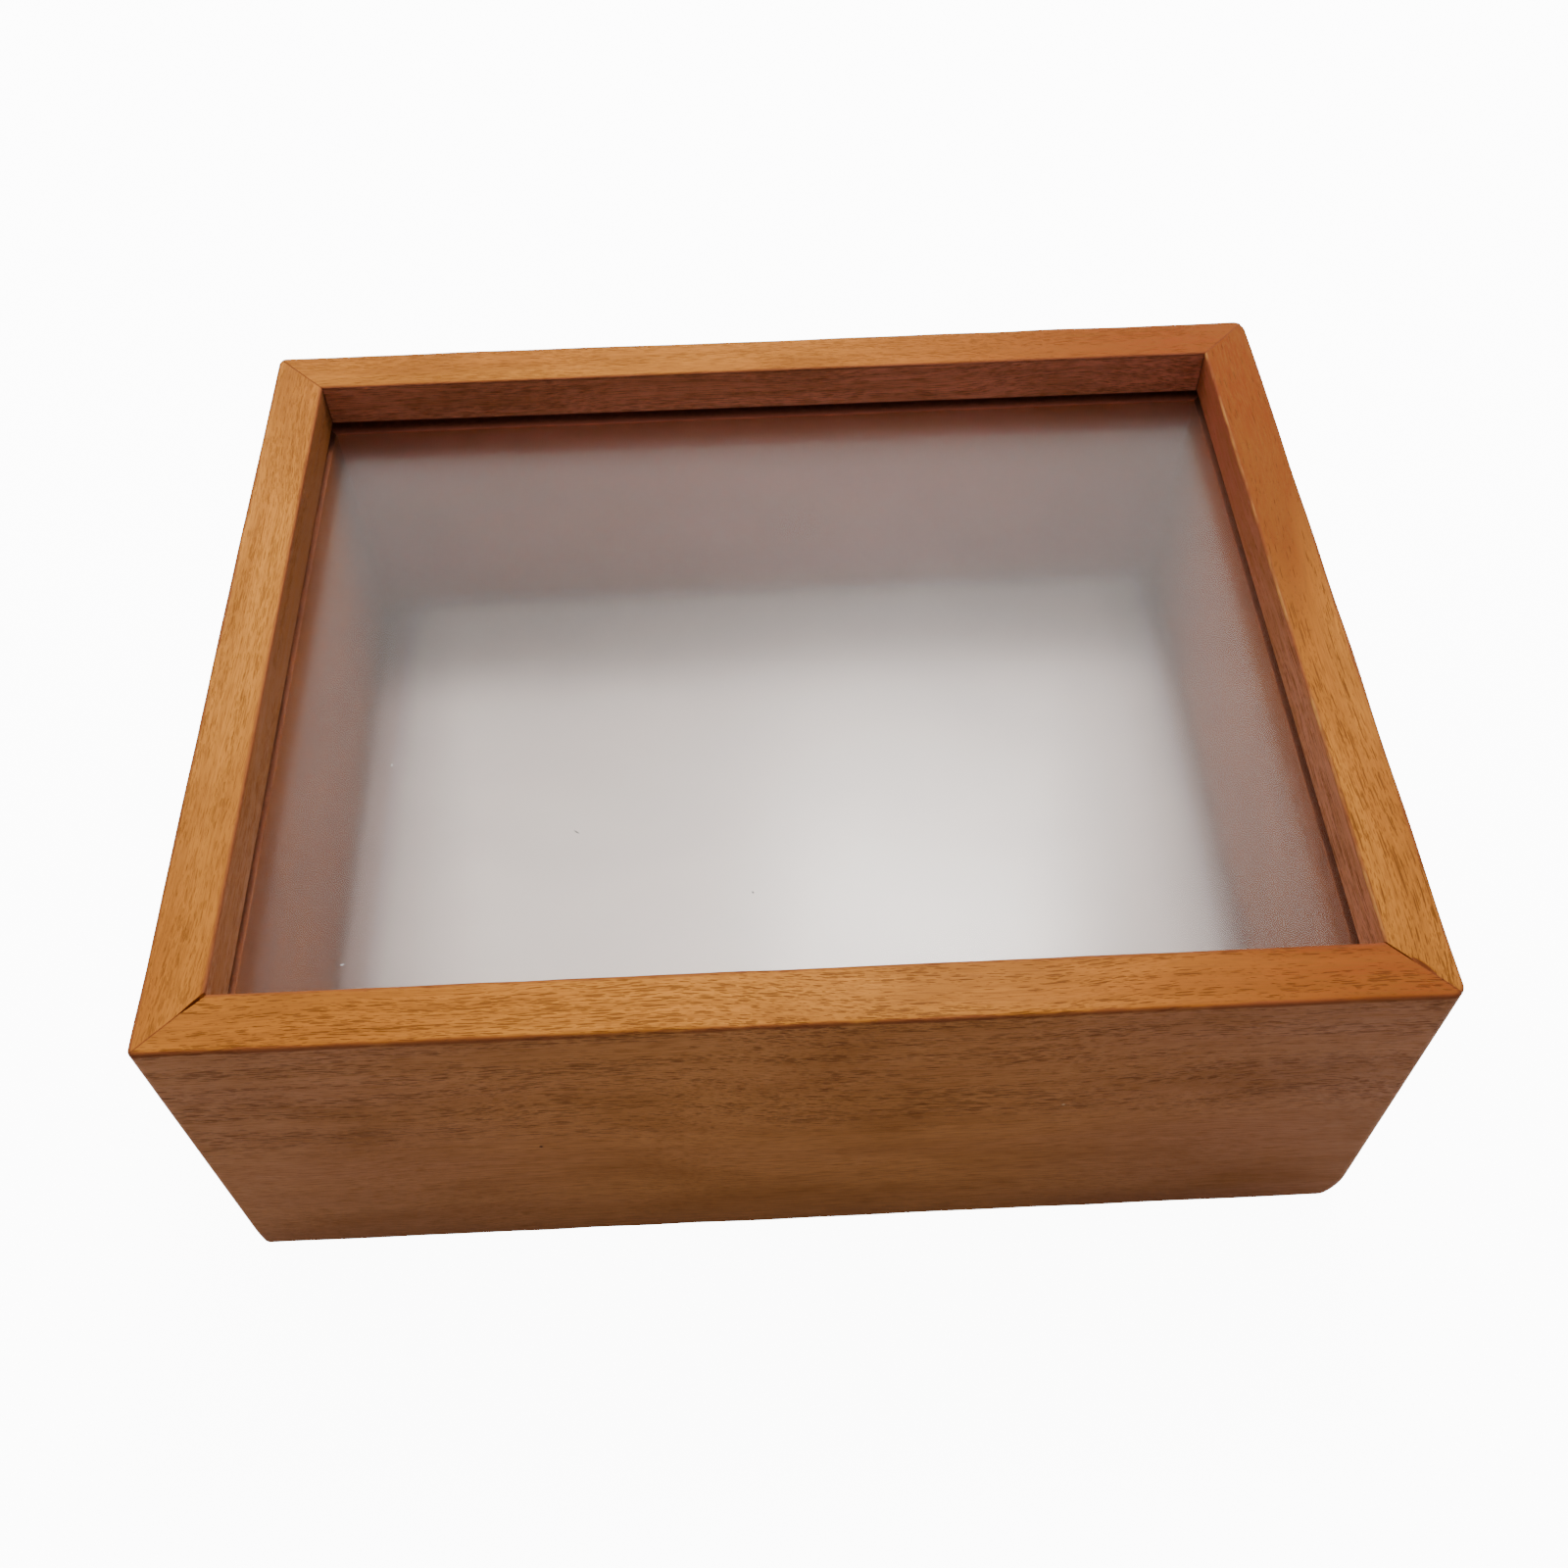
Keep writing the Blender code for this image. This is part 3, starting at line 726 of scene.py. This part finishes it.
def add_edges(n, at, look, half_length, blotch, colour):
    """Stain gathers on the edges and in the mitres, and one rail's inner edge is worn. Painted shade
    darkens the chip and whatever else lies below the face, apart from the outer face and the inner wall.
    """
    edge_noise = n.noise(at.place, (9, 3, 3), look["seed"] + 7, detail=3.0)
    edge_width = n.spread(edge_noise, 0.3, 0.7, 0.8, 1.4)
    outer_edge = n.math("DIVIDE", n.math("ADD", at.from_outer, at.below_face), edge_width)
    outer_edge = n.ease(outer_edge, 0.45, 1.0, 1.0, 0.0)
    from_mouth = n.math("ADD", at.from_inner, at.below_face)
    inner_edge = n.math("DIVIDE", from_mouth, edge_width)
    inner_edge = n.ease(inner_edge, 0.3, 0.9, 1.0, 0.0)
    mitre = n.minus(half_length, n.math("ADD", at.from_middle, at.inset))
    mitre = n.ease(mitre, 0.05, 0.42, 0.8, 0.0)
    stain = n.math("MAXIMUM", outer_edge, n.times(inner_edge, 0.8))
    stain = n.math("MAXIMUM", stain, mitre)
    foot = n.times(at.outer, n.ease(at.height, 16.0, 2.0, 0.0, 0.45))
    colour = n.mix(n.times(foot, n.spread(blotch, 0.3, 0.55, 0.35, 1.0)), colour, FOOT)
    colour = n.mix(n.times(stain, 0.8), colour, STAIN)
    if look["wear"]:
        ring = n.math("ABSOLUTE", n.minus(from_mouth, 0.35))
        worn = n.times(n.spread(ring, 0.0, 0.3, 1.0, 0.0), n.spread(edge_noise, 0.40, 0.60))
        colour = n.mix(n.times(worn, look["wear"]), colour, WORN)
    # Painted shade: surfaces lower than the face, away from the outer face and the inner wall, take the
    # stain colour; this darkens the chip by the front right mitre.
    recess_shade = n.times(n.spread(at.below_face, 0.02, 0.12), n.spread(at.inset, 1.2, 1.6))
    recess_shade = n.times(recess_shade, n.spread(at.from_inner, 0.8, 1.1, 0.0, 0.85))
    return n.mix(recess_shade, colour, STAIN)


def add_painted_groove_shade(n, at, look, colour):
    # Painted shade in the groove: its inside takes the inner wall's colour scaled by the rail's groove
    # share, which darkens it on the front and right rails.
    tone = tuple(look["groove"] * c for c in look["inner_wall"])
    above = n.spread(at.height, GROOVE_BOTTOM - 0.1, GROOVE_BOTTOM - 0.05)
    mask = n.times(above, n.spread(at.height, FILM_TOP + 1.6, FILM_TOP + 1.5))
    mask = n.times(mask, n.spread(at.from_inner, 0.02, 0.08))
    mask = n.times(mask, n.spread(at.from_inner, GROOVE_DEPTH + 0.8, GROOVE_DEPTH + 0.4))
    return n.mix(mask, colour, tone)


def wood(name, half_length):
    """One rail's stained wood, from its ground colour up to the marks on it."""
    look = {**PLAIN_WOOD, **WOODS[name]}
    seed, pore_share = look["seed"], look["pore_share"]
    n = Nodes(name + "_stained_wood")
    at = board_places(n, seed)
    streak = n.noise(at.grain, (80, 1.5, 1.5), seed + 2, detail=3.0, roughness=0.6)
    fibre = n.noise(at.grain, (6, 0.28, 0.28), seed + 3, detail=2.0, roughness=0.6)
    blotch = n.noise(at.place, (38, 16, 16), seed + 4, detail=2.0)
    pore = open_pores(n, at, look)

    colour = add_inner_wall(n, at, look, ground_colour(n, at, look))
    colour = n.mix(n.spread(blotch, 0.45, 0.75, 0.0, 0.45), colour, BROWN)
    streak_share = n.spread(streak, 0.42, 0.72, 0.0, 0.42)
    streak_share = n.times(streak_share, n.spread(at.outer, 0.0, 1.0, 1.0, 0.45))
    colour = n.mix(streak_share, colour, BROWN)
    colour = n.mix(n.spread(fibre, 0.46, 0.66, 0.0, 0.6), colour, BROWN)
    pore_strength = n.spread(at.outer, 0.0, 1.0, 0.8 * pore_share, 0.85 * pore_share)
    colour = n.mix(n.times(pore, pore_strength), colour, PORE)
    colour = add_edges(n, at, look, half_length, blotch, colour)
    colour = add_painted_groove_shade(n, at, look, colour)
    for mark_place, radius, mark in MARKS.get(name, ()):
        colour = n.mix(n.spread(n.distance(at.place, mark_place), radius, 0.4 * radius), colour, mark)
    n.set("Base Color", colour)

    roughness = n.spread(streak, 0.3, 0.7, 0.40, 0.52)
    n.set("Roughness", n.math("ADD", roughness, n.times(pore, 0.2)))
    n.set("Specular IOR Level", 0.022)
    n.set("Coat Weight", 0.012)
    n.set("Coat Roughness", 0.28)
    relief = n.math("ADD", n.times(fibre, 0.30), n.times(streak, 0.25))
    relief = n.minus(relief, n.times(pore, 0.9))
    n.set("Normal", n.bump(relief, 0.00014, 0.8))
    return n.material


def hazy_film(name, seed):
    """Protective film: it scatters what is seen through it, more where its adhesive is uneven."""
    n = Nodes(name)
    place = n.coordinates()
    cloud = n.noise(place, (60, 60, 60), seed, detail=2.0)
    grain = n.noise(place, (0.7, 0.7, 0.7), seed + 1, detail=2.0)
    n.set("Base Color", n.mix(n.spread(cloud, 0.3, 0.7), (0.97, 0.925, 0.89), (0.95, 0.905, 0.875)))
    n.set("Transmission Weight", 1.0)
    n.set("IOR", 1.18)
    n.set("Specular IOR Level", 0.42)
    roughness = n.spread(cloud, 0.3, 0.7, 0.15, 0.18)
    n.set("Roughness", n.math("ADD", roughness, n.spread(grain, 0.3, 0.7, 0.0, 0.04)))
    n.set("Normal", n.bump(grain, 0.000003, 0.12))
    return n.material


def clear_acrylic():
    """The pane. Its faces are wetted by the films' adhesive, so they bend and reflect little."""
    n = Nodes("pane_clear_acrylic")
    place = n.coordinates()
    smear = n.noise(place, (30, 12, 12), 5.0, detail=2.0)
    n.set("Base Color", n.mix(n.spread(smear, 0.3, 0.7), (0.97, 0.98, 0.98), (0.94, 0.95, 0.96)))
    n.set("Transmission Weight", 1.0)
    n.set("IOR", 1.06)
    n.set("Roughness", n.spread(smear, 0.3, 0.7, 0.03, 0.08))
    return n.material


def foam(low, high):
    """White foam. Painted shade greys it towards its sides, its right end and its back, and a painted brown
    shadow band runs along its left and right edges, at the foot of the walls.
    """
    n = Nodes("foam_white")
    place = n.coordinates()
    x, y, _ = n.separate(place)
    from_side = n.minus((high.x - low.x) / 2, n.math("ABSOLUTE", x))
    from_back = n.minus(high.y, y)
    from_right = n.minus(high.x, x)
    # Painted shade: greyer towards the side walls, the right wall and the back wall, which shade the foam
    # there.
    painted_wall_shade = n.math("MAXIMUM", n.ease(from_side, 0.5, 42.0, 0.82, 0.0),
                    n.spread(from_back, 0.5, 118.0, 0.46, 0.0))
    painted_wall_shade = n.math("MAXIMUM", painted_wall_shade, n.ease(from_right, 20.0, 62.0, 0.45, 0.0))
    cells = n.noise(place, (0.55, 0.55, 0.55), 8.0, detail=3.0, roughness=0.6)
    cloud = n.noise(place, (45, 45, 45), 9.0, detail=2.0)
    colour = n.mix(n.spread(cloud, 0.3, 0.7), (0.90, 0.895, 0.885), (0.85, 0.845, 0.835))
    colour = n.mix(n.spread(cells, 0.55, 0.75, 0.0, 0.25), colour, (0.62, 0.615, 0.61))
    colour = n.mix(painted_wall_shade, colour, (0.27, 0.238, 0.238))
    # Painted shadow: a brown band along the left and right edges, where the walls meet the foam.
    stained = n.math("MAXIMUM", n.ease(n.minus(x, low.x), 4.0, 13.0, 0.75, 0.0),
                     n.ease(from_right, 2.0, 8.0, 0.75, 0.0))
    colour = n.mix(stained, colour, (0.19, 0.115, 0.105))
    n.set("Base Color", colour)
    n.set("Roughness", n.spread(cells, 0.3, 0.7, 0.85, 0.95))
    n.set("Normal", n.bump(cells, 0.00008, 0.6))
    return n.material


def hardboard():
    n = Nodes("back_hardboard")
    place = n.coordinates()
    chips = n.noise(place, (2.4, 1.1, 1.1), 12.0, detail=4.0, roughness=0.65)
    cloud = n.noise(place, (50, 35, 35), 13.0, detail=2.0)
    colour = n.mix(n.spread(chips, 0.3, 0.7), (0.14, 0.070, 0.032), (0.29, 0.165, 0.082))
    colour = n.mix(n.spread(cloud, 0.35, 0.7, 0.0, 0.5), colour, (0.19, 0.105, 0.050))
    n.set("Base Color", colour)
    n.set("Roughness", n.spread(chips, 0.3, 0.7, 0.62, 0.8))
    weave = n.add("ShaderNodeTexWave", wave_type="BANDS", bands_direction="DIAGONAL")
    n.put(weave.inputs["Vector"], n.scaled(place, (1.2, 1.2, 1.2)))
    relief = n.math("ADD", n.times(chips, 0.7), n.times(weave.outputs["Fac"], 0.25))
    n.set("Normal", n.bump(relief, 0.00012, 0.8))
    return n.material


# Metals: light and dark colour, seed, roughness from low to high, and the size of the lines
METALS = {
    "brushed_brass": ((0.74, 0.53, 0.21), (0.46, 0.30, 0.10), 51.0, (0.22, 0.38), (6, 0.12, 0.12)),
    "screw_brass": ((0.78, 0.57, 0.24), (0.42, 0.27, 0.09), 53.0, (0.18, 0.32), (0.3, 0.3, 2)),
    "zinc_steel": ((0.62, 0.62, 0.63), (0.36, 0.36, 0.37), 57.0, (0.28, 0.45), (0.25, 4, 0.25)),
}


def metal(name):
    """Plated metal with fine lines from its brushing or rolling, and a little tarnish."""
    light, dark, seed, roughness, streak_cell = METALS[name]
    n = Nodes(name)
    place = n.coordinates()
    lines = n.noise(place, streak_cell, seed, detail=3.0, roughness=0.6)
    tarnish = n.noise(place, (5, 5, 5), seed + 1, detail=3.0)
    colour = n.mix(n.spread(tarnish, 0.4, 0.75), light, dark)
    colour = n.mix(n.spread(lines, 0.5, 0.8, 0.0, 0.35), colour, dark)
    n.set("Base Color", colour)
    n.set("Metallic", 1.0)
    n.set("Roughness", n.spread(lines, 0.3, 0.7, roughness[0], roughness[1]))
    n.set("Normal", n.bump(lines, 0.00002, 0.6))
    return n.material


def rubber():
    n = Nodes("bumper_rubber")
    place = n.coordinates()
    skin = n.noise(place, (0.5, 0.5, 0.5), 21.0, detail=3.0)
    dust = n.noise(place, (3, 3, 3), 22.0, detail=2.0)
    dust_share = n.spread(dust, 0.5, 0.8, 0.0, 0.6)
    n.set("Base Color", n.mix(dust_share, (0.016, 0.016, 0.017), (0.06, 0.058, 0.055)))
    n.set("Roughness", n.spread(skin, 0.3, 0.7, 0.55, 0.75))
    n.set("Normal", n.bump(skin, 0.00004, 0.5))
    return n.material


def paint(obj, material):
    obj.data.materials.clear()
    obj.data.materials.append(material)


# ---- hardware


def make_turn_button(label):
    """A stamped brass plate with rolled edges, round its screw's shank."""
    node = "turn_button_" + label
    low, high = span(node)
    screw_low, screw_high = span("turn_button_screw_" + label)
    pivot = (screw_low + screw_high) / 2
    reach = 1 if high.x - pivot.x > pivot.x - low.x else -1
    big = (high.y - low.y) / 2
    small = big * BUTTON_TAPER
    length = max(high.x - pivot.x, pivot.x - low.x) - small
    tangent = math.degrees(math.acos((big - small) / length))
    levels = [(BUTTON_EDGE * s, low.z + BUTTON_EDGE * r) for s, r in round_steps(4)]
    levels += [(BUTTON_EDGE * s, high.z - BUTTON_EDGE * r) for s, r in reversed(round_steps(4))]
    rings = []
    for inset, z in levels:
        ring = arc((0.0, 0.0), big - inset, tangent, 360 - tangent, BUTTON_STEPS)
        ring += arc((length, 0.0), small - inset, -tangent, tangent, BUTTON_STEPS)
        rings.append([(pivot.x + reach * x, pivot.y + reach * y, z) for x, y in ring])
    obj = to_object(node + "_fine", add_rings(bmesh.new(), rings))
    cut(obj, add_turned(bmesh.new(), [(BUTTON_HOLE, low.z - 1), (BUTTON_HOLE, high.z + 1)], pivot, 40))
    return obj


def quarter_turned(points, turns):
    for _ in range(turns):
        points = [(-y, x) for x, y in points]
    return points


def make_screw(label):
    """A pan-head screw: a domed head with a cross recess that narrows as it goes in."""
    node = "turn_button_screw_" + label
    low, high = span(node)
    centre = (low + high) / 2
    radius = (high.x - low.x) / 2
    under_head = low.z + HEAD_HEIGHT
    profile = [(0.02, low.z)] + dome(0.0, radius, low.z, 0.55 * HEAD_HEIGHT, 8, power=0.75)
    profile += [(radius, low.z + HEAD_HEIGHT * 0.92), (radius - 0.08, under_head)]
    profile += [(SCREW_SHANK, under_head)]
    for i in range(int((high.z - under_head - 2.2) / THREAD_PITCH)):
        z = under_head + 1.6 + i * THREAD_PITCH
        profile += [(THREAD_ROOT, z), (SCREW_SHANK, z + THREAD_PITCH / 2)]
    profile += [(THREAD_ROOT, high.z - 1.0), (0.03, high.z)]
    obj = to_object(node + "_fine", add_turned(bmesh.new(), profile, centre, 48))
    rings = []
    for z, arm, half in ((low.z - 0.3, 1.45, 0.30), (low.z + 0.55, 0.65, 0.22)):
        quarter = [(arm, -half), (arm, half), (half, half)]
        cross = [turned for k in range(4) for turned in quarter_turned(quarter, k)]
        rings.append([(centre.x + x, centre.y + y, z) for x, y in cross])
    cut(obj, add_rings(bmesh.new(), rings))
    return obj


def hanger_height(along, rise):
    """How far the strip's middle stands off the rail, with eased bends."""
    t = (RAISED_HALF + SLOPE - abs(along)) / SLOPE
    t = min(1.0, max(0.0, t))
    return rise * t * t * (3 - 2 * t)


def hanger_outline(half, edge):
    """Round the strip, with notches cut into one long edge."""
    far, side = half - HANGER_CORNER, edge - HANGER_CORNER
    outline = arc((far, -side), HANGER_CORNER, -90, 0, 6) + arc((far, side), HANGER_CORNER, 0, 90, 6)
    for i in reversed(range(TOOTH_COUNT)):
        x = (i - (TOOTH_COUNT - 1) / 2) * TOOTH_PITCH
        outline += [(x + TOOTH_HALF_MOUTH, edge), (x + TOOTH_HALF_TIP, edge - TOOTH_DEPTH)]
        outline += [(x - TOOTH_HALF_TIP, edge - TOOTH_DEPTH), (x - TOOTH_HALF_MOUTH, edge)]
    outline += arc((-far, side), HANGER_CORNER, 90, 180, 6)
    return outline + arc((-far, -side), HANGER_CORNER, 180, 270, 6)


def make_hanger(label):
    """A sawtooth hanger: a stamped strip, raised in the middle, with teeth along one edge."""
    node = "sawtooth_hanger_" + label
    low, high = span(node)
    centre = (low + high) / 2
    size = high - low
    outline = hanger_outline(max(size.x, size.y) / 2, min(size.x, size.y) / 2)
    shape = add_prism(bmesh.new(), outline, high.z - HANGER_THICKNESS, high.z)
    obj = to_object(node + "_fine", shape, smooth=False)
    holes = bmesh.new()
    for side in (-1, 1):
        place = (side * HANGER_HOLE_PLACE, 0.0)
        add_turned(holes, [(HANGER_HOLE, low.z - 3), (HANGER_HOLE, high.z + 3)], place, 24)
    cut(obj, holes)
    shape = bmesh.new()
    shape.from_mesh(obj.data)
    shape.transform(Matrix.Scale(1 / MM, 4))
    for side in (-1, 1):
        for i in range(SLOPE_STEPS + 1):
            x = side * (RAISED_HALF + SLOPE * i / SLOPE_STEPS)
            geometry = shape.verts[:] + shape.edges[:] + shape.faces[:]
            bmesh.ops.bisect_plane(shape, geom=geometry, plane_co=(x, 0, 0), plane_no=(1, 0, 0), dist=1e-4)
    for vertex in shape.verts:
        vertex.co.z -= hanger_height(vertex.co.x, size.z - HANGER_THICKNESS)
    shape.transform(rail_turn(2 if label == "long" else 3))
    shape.transform(Matrix.Translation((centre.x, centre.y, 0.0)))
    bpy.data.objects.remove(obj)
    bpy.data.meshes.remove(bpy.data.meshes[node + "_fine"])
    return to_object(node + "_fine", shape)


def make_nail(node):
    low, high = span(node)
    radius = (high.x - low.x) / 2
    under_head = low.z + NAIL_HEAD
    profile = [(0.02, low.z)] + dome(0.0, radius, low.z, 0.28, 6, power=0.6)
    profile += [
        (radius, under_head - 0.08),
        (radius - 0.06, under_head),
        (NAIL_SHANK, under_head),
        (NAIL_SHANK, high.z - 1.3),
        (0.04, high.z),
    ]
    return to_object(node + "_fine", add_turned(bmesh.new(), profile, (low + high) / 2, 40))


def make_bumper(node):
    """A self-adhesive rubber foot: a low dome with a flat foot and a thin skirt at its root."""
    low, high = span(node)
    radius = (high.x - low.x) / 2
    foot = radius - 0.8
    profile = [(0.02, low.z), (foot * 0.6, low.z), (foot, low.z)]
    profile += dome(foot, radius - 0.12, low.z, 1.3, 8)
    profile += [
        (radius - 0.10, high.z - 0.35),
        (radius, high.z - 0.28),
        (radius, high.z - 0.05),
        (radius - 0.06, high.z),
        (0.02, high.z),
    ]
    return to_object(node + "_fine", add_turned(bmesh.new(), profile, (low + high) / 2, 56))


def make_foam(node):
    """The foam board: soft rounded edges, and a face that isn't quite flat."""
    low, high = span(node)
    centre = (low + high) / 2
    half_x, half_y = (high.x - low.x) / 2, (high.y - low.y) / 2
    levels = [(0.0, low.z), (0.0, high.z - FOAM_ROUND)]
    levels += [(FOAM_ROUND * s, high.z - FOAM_ROUND * r) for s, r in reversed(round_steps(6))][1:]
    levels += [(inset, high.z) for inset in FOAM_RINGS]
    rings = []
    for inset, z in levels:
        ring = []
        for x, y in rounded_outline(half_x - inset, half_y - inset, max(1.0, 2.0 - inset), FOAM_POINTS):
            dip = FOAM_DIP * (0.5 + 0.5 * wobble(x + 0.7 * y, 60.0 + y / 40.0, 35.0))
            dip = max(0.0, dip) if inset >= FOAM_RINGS[0] else 0.0
            ring.append((centre.x + x, centre.y + y, z - dip))
        rings.append(ring)
    return to_object(node + "_fine", add_rings(bmesh.new(), rings))


# ---- dust


# Specks on the film: x, y, size, length, turn in degrees, seed and colour
SPECKS = {
    "dust_pale_front": (-92.2, -76.3, 0.30, 0.8, 10.0, 15, (0.85, 0.84, 0.80)),
    "dust_pale_left": (-87.2, -25.4, 0.40, 0.6, 60.0, 14, (0.80, 0.78, 0.75)),
    "dust_fibre": (-45.6, -45.7, 0.24, 1.5, -38.0, 10, (0.05, 0.045, 0.04)),
    "dust_crumb": (-8.2, -63.1, 0.34, 0.6, -50.0, 10, (0.05, 0.045, 0.04)),
}
SPECK_STEPS = 7
SPECK_SIDES = 8


def make_speck(name, x, y, size, length, turn, seed):
    """A crumb or a short bent fibre lying on the film."""
    rng = random.Random(seed)
    rings = []
    bend = rng.uniform(-0.5, 0.5)
    for i in range(SPECK_STEPS + 1):
        t = i / SPECK_STEPS
        along = (t - 0.5) * length
        across = bend * length * (t - 0.5) ** 2
        radius = size / 2 * (0.35 + 0.65 * math.sin(math.pi * t)) * rng.uniform(0.8, 1.2)
        circle = arc((across, FILM_TOP + size / 2), radius, 0, 360, SPECK_SIDES)[:-1]
        rings.append([(along, side, height) for side, height in circle])
    shape = add_rings(bmesh.new(), rings)
    shape.transform(Matrix.Rotation(math.radians(turn), 4, "Z"))
    shape.transform(Matrix.Translation((x, y, 0.0)))
    return to_object(name, shape)


def dust_material(name, tone):
    n = Nodes(name)
    cloud = n.noise(n.coordinates(), (0.3, 0.3, 0.3), 71.0, detail=2.0)
    n.set("Base Color", n.mix(n.spread(cloud, 0.3, 0.7), tone, tuple(0.7 * c for c in tone)))
    n.set("Roughness", n.spread(cloud, 0.3, 0.7, 0.8, 0.95))
    return n.material


# ---- studio


FLOOR_RADIUS = 9000.0
FLOOR_GLOW = 11.0  # what the camera sees of the floor, over its own light
WORLD_LIGHT = 0.30
WORLD_GLOW = 12.0  # what the camera sees of the world

# Lamps, all aimed at the box: place and size in metres, and power in watts
LAMP_TARGET = (0.0, 0.0, 0.05)
LAMPS = {
    "light_behind": ((0.05, 0.90, 0.92), (2.0, 1.0), 24.0),
    "light_left": ((-1.15, 0.20, 0.80), (1.0, 1.0), 4.5),
    "light_right": ((1.15, 0.20, 0.80), (1.0, 1.0), 4.0),
    "light_small": ((0.13, 0.51, 1.14), (0.25, 0.22), 8.5),
}

# Camera: elevation, azimuth and roll in degrees, place in metres, lens and sensor in mm
CAMERA_ANGLES = (53.352, 1.276, -1.427)
CAMERA_PLACE = (-0.00526, -0.24805, 0.37173)
CAMERA_LENS = 37.36
CAMERA_SENSOR = 36.0


def make_floor():
    """A large pale disc at the level that the object stands on."""
    shape = bmesh.new()
    bmesh.ops.create_circle(shape, cap_ends=True, segments=96, radius=FLOOR_RADIUS)
    floor = to_object("studio_floor", shape, smooth=False)
    n = Nodes("studio_floor")
    n.set("Base Color", (0.78, 0.78, 0.78, 1.0))
    n.set("Roughness", 0.9)
    n.set("Specular IOR Level", 0.0)
    path = n.add("ShaderNodeLightPath")
    n.set("Emission Color", (1.0, 1.0, 1.0, 1.0))
    n.set("Emission Strength", n.times(path.outputs["Is Camera Ray"], FLOOR_GLOW))
    paint(floor, n.material)


def make_world():
    world = bpy.data.worlds.new("studio")
    bpy.context.scene.world = world
    world.use_nodes = True
    tree = world.node_tree
    background = tree.nodes["Background"]
    background.inputs["Color"].default_value = (1.0, 1.0, 1.0, 1.0)
    path = tree.nodes.new("ShaderNodeLightPath")
    strength = tree.nodes.new("ShaderNodeMapRange")
    strength.inputs["To Min"].default_value = WORLD_LIGHT
    strength.inputs["To Max"].default_value = WORLD_GLOW
    tree.links.new(path.outputs["Is Camera Ray"], strength.inputs["Value"])
    tree.links.new(strength.outputs[0], background.inputs["Strength"])


def make_lamp(name, place, size, power):
    light = bpy.data.lights.new(name, "AREA")
    light.shape = "RECTANGLE"
    light.size, light.size_y = size
    light.energy = power
    obj = add_object(name, light)
    obj.location = place
    obj.rotation_euler = (Vector(LAMP_TARGET) - Vector(place)).to_track_quat("-Z", "Y").to_euler()


def make_camera():
    """Looks down on the box from in front, a little to the left and slightly rolled."""
    elevation, azimuth, roll = (math.radians(a) for a in CAMERA_ANGLES)
    level = math.cos(elevation)
    forward = Vector((math.sin(azimuth) * level, math.cos(azimuth) * level, -math.sin(elevation)))
    level_right = forward.cross(Vector((0, 0, 1))).normalized()
    level_up = level_right.cross(forward)
    right = math.cos(roll) * level_right + math.sin(roll) * level_up
    up = right.cross(forward)
    camera = bpy.data.cameras.new("camera")
    camera.sensor_width = CAMERA_SENSOR
    camera.lens = CAMERA_LENS
    camera.clip_start = 0.01
    camera.clip_end = 50.0
    obj = add_object("camera", camera)
    turn = Matrix((right, up, -forward)).transposed().to_4x4()
    obj.matrix_world = Matrix.Translation(CAMERA_PLACE) @ turn
    bpy.context.scene.camera = obj


# ---- assembly


def stand_for(obj, node, body, material):
    paint(obj, material)
    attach(obj, body)
    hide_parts(node)


def keep(node, material):
    """A CAD node whose shape is right keeps its mesh and takes a better material."""
    paint(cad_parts[node], material)


def main():
    make_camera()
    make_world()
    make_floor()
    for name, lamp in LAMPS.items():
        make_lamp(name, *lamp)
    for name, (turns, _, _) in RAILS.items():
        _, length = rail_depth(turns)
        stand_for(make_rail(name), name, "case", wood(name, length / 2))

    keep("protective_film_outer", hazy_film("outer_film_haze", 31.0))
    keep("acrylic_pane", clear_acrylic())
    keep("protective_film_inner", hazy_film("inner_film_haze", 37.0))
    for node in ("protective_film_outer", "acrylic_pane", "protective_film_inner"):
        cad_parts[node].visible_shadow = False
    stand_for(make_foam("foam_board"), "foam_board", "back", foam(*span("foam_board")))
    keep("back_panel", hardboard())

    brass, screw_brass, zinc = (metal(name) for name in METALS)
    for label in ("front_left", "front_right", "back_left", "back_right"):
        node = "turn_button_" + label
        stand_for(make_turn_button(label), node, node, brass)
        stand_for(make_screw(label), "turn_button_screw_" + label, "case", screw_brass)
    for label in ("long", "short"):
        stand_for(make_hanger(label), "sawtooth_hanger_" + label, "case", zinc)
        for number in ("1", "2"):
            node = f"hanger_nail_{label}_{number}"
            stand_for(make_nail(node), node, "case", zinc)
    black = rubber()
    for corner in CORNERS:
        stand_for(make_bumper("bumper_" + corner), "bumper_" + corner, "case", black)
        keep("v_nail_" + corner, zinc)

    for name, (*measures, tone) in SPECKS.items():
        speck = make_speck(name, *measures)
        paint(speck, dust_material(name, tone))
        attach(speck, "case")


main()
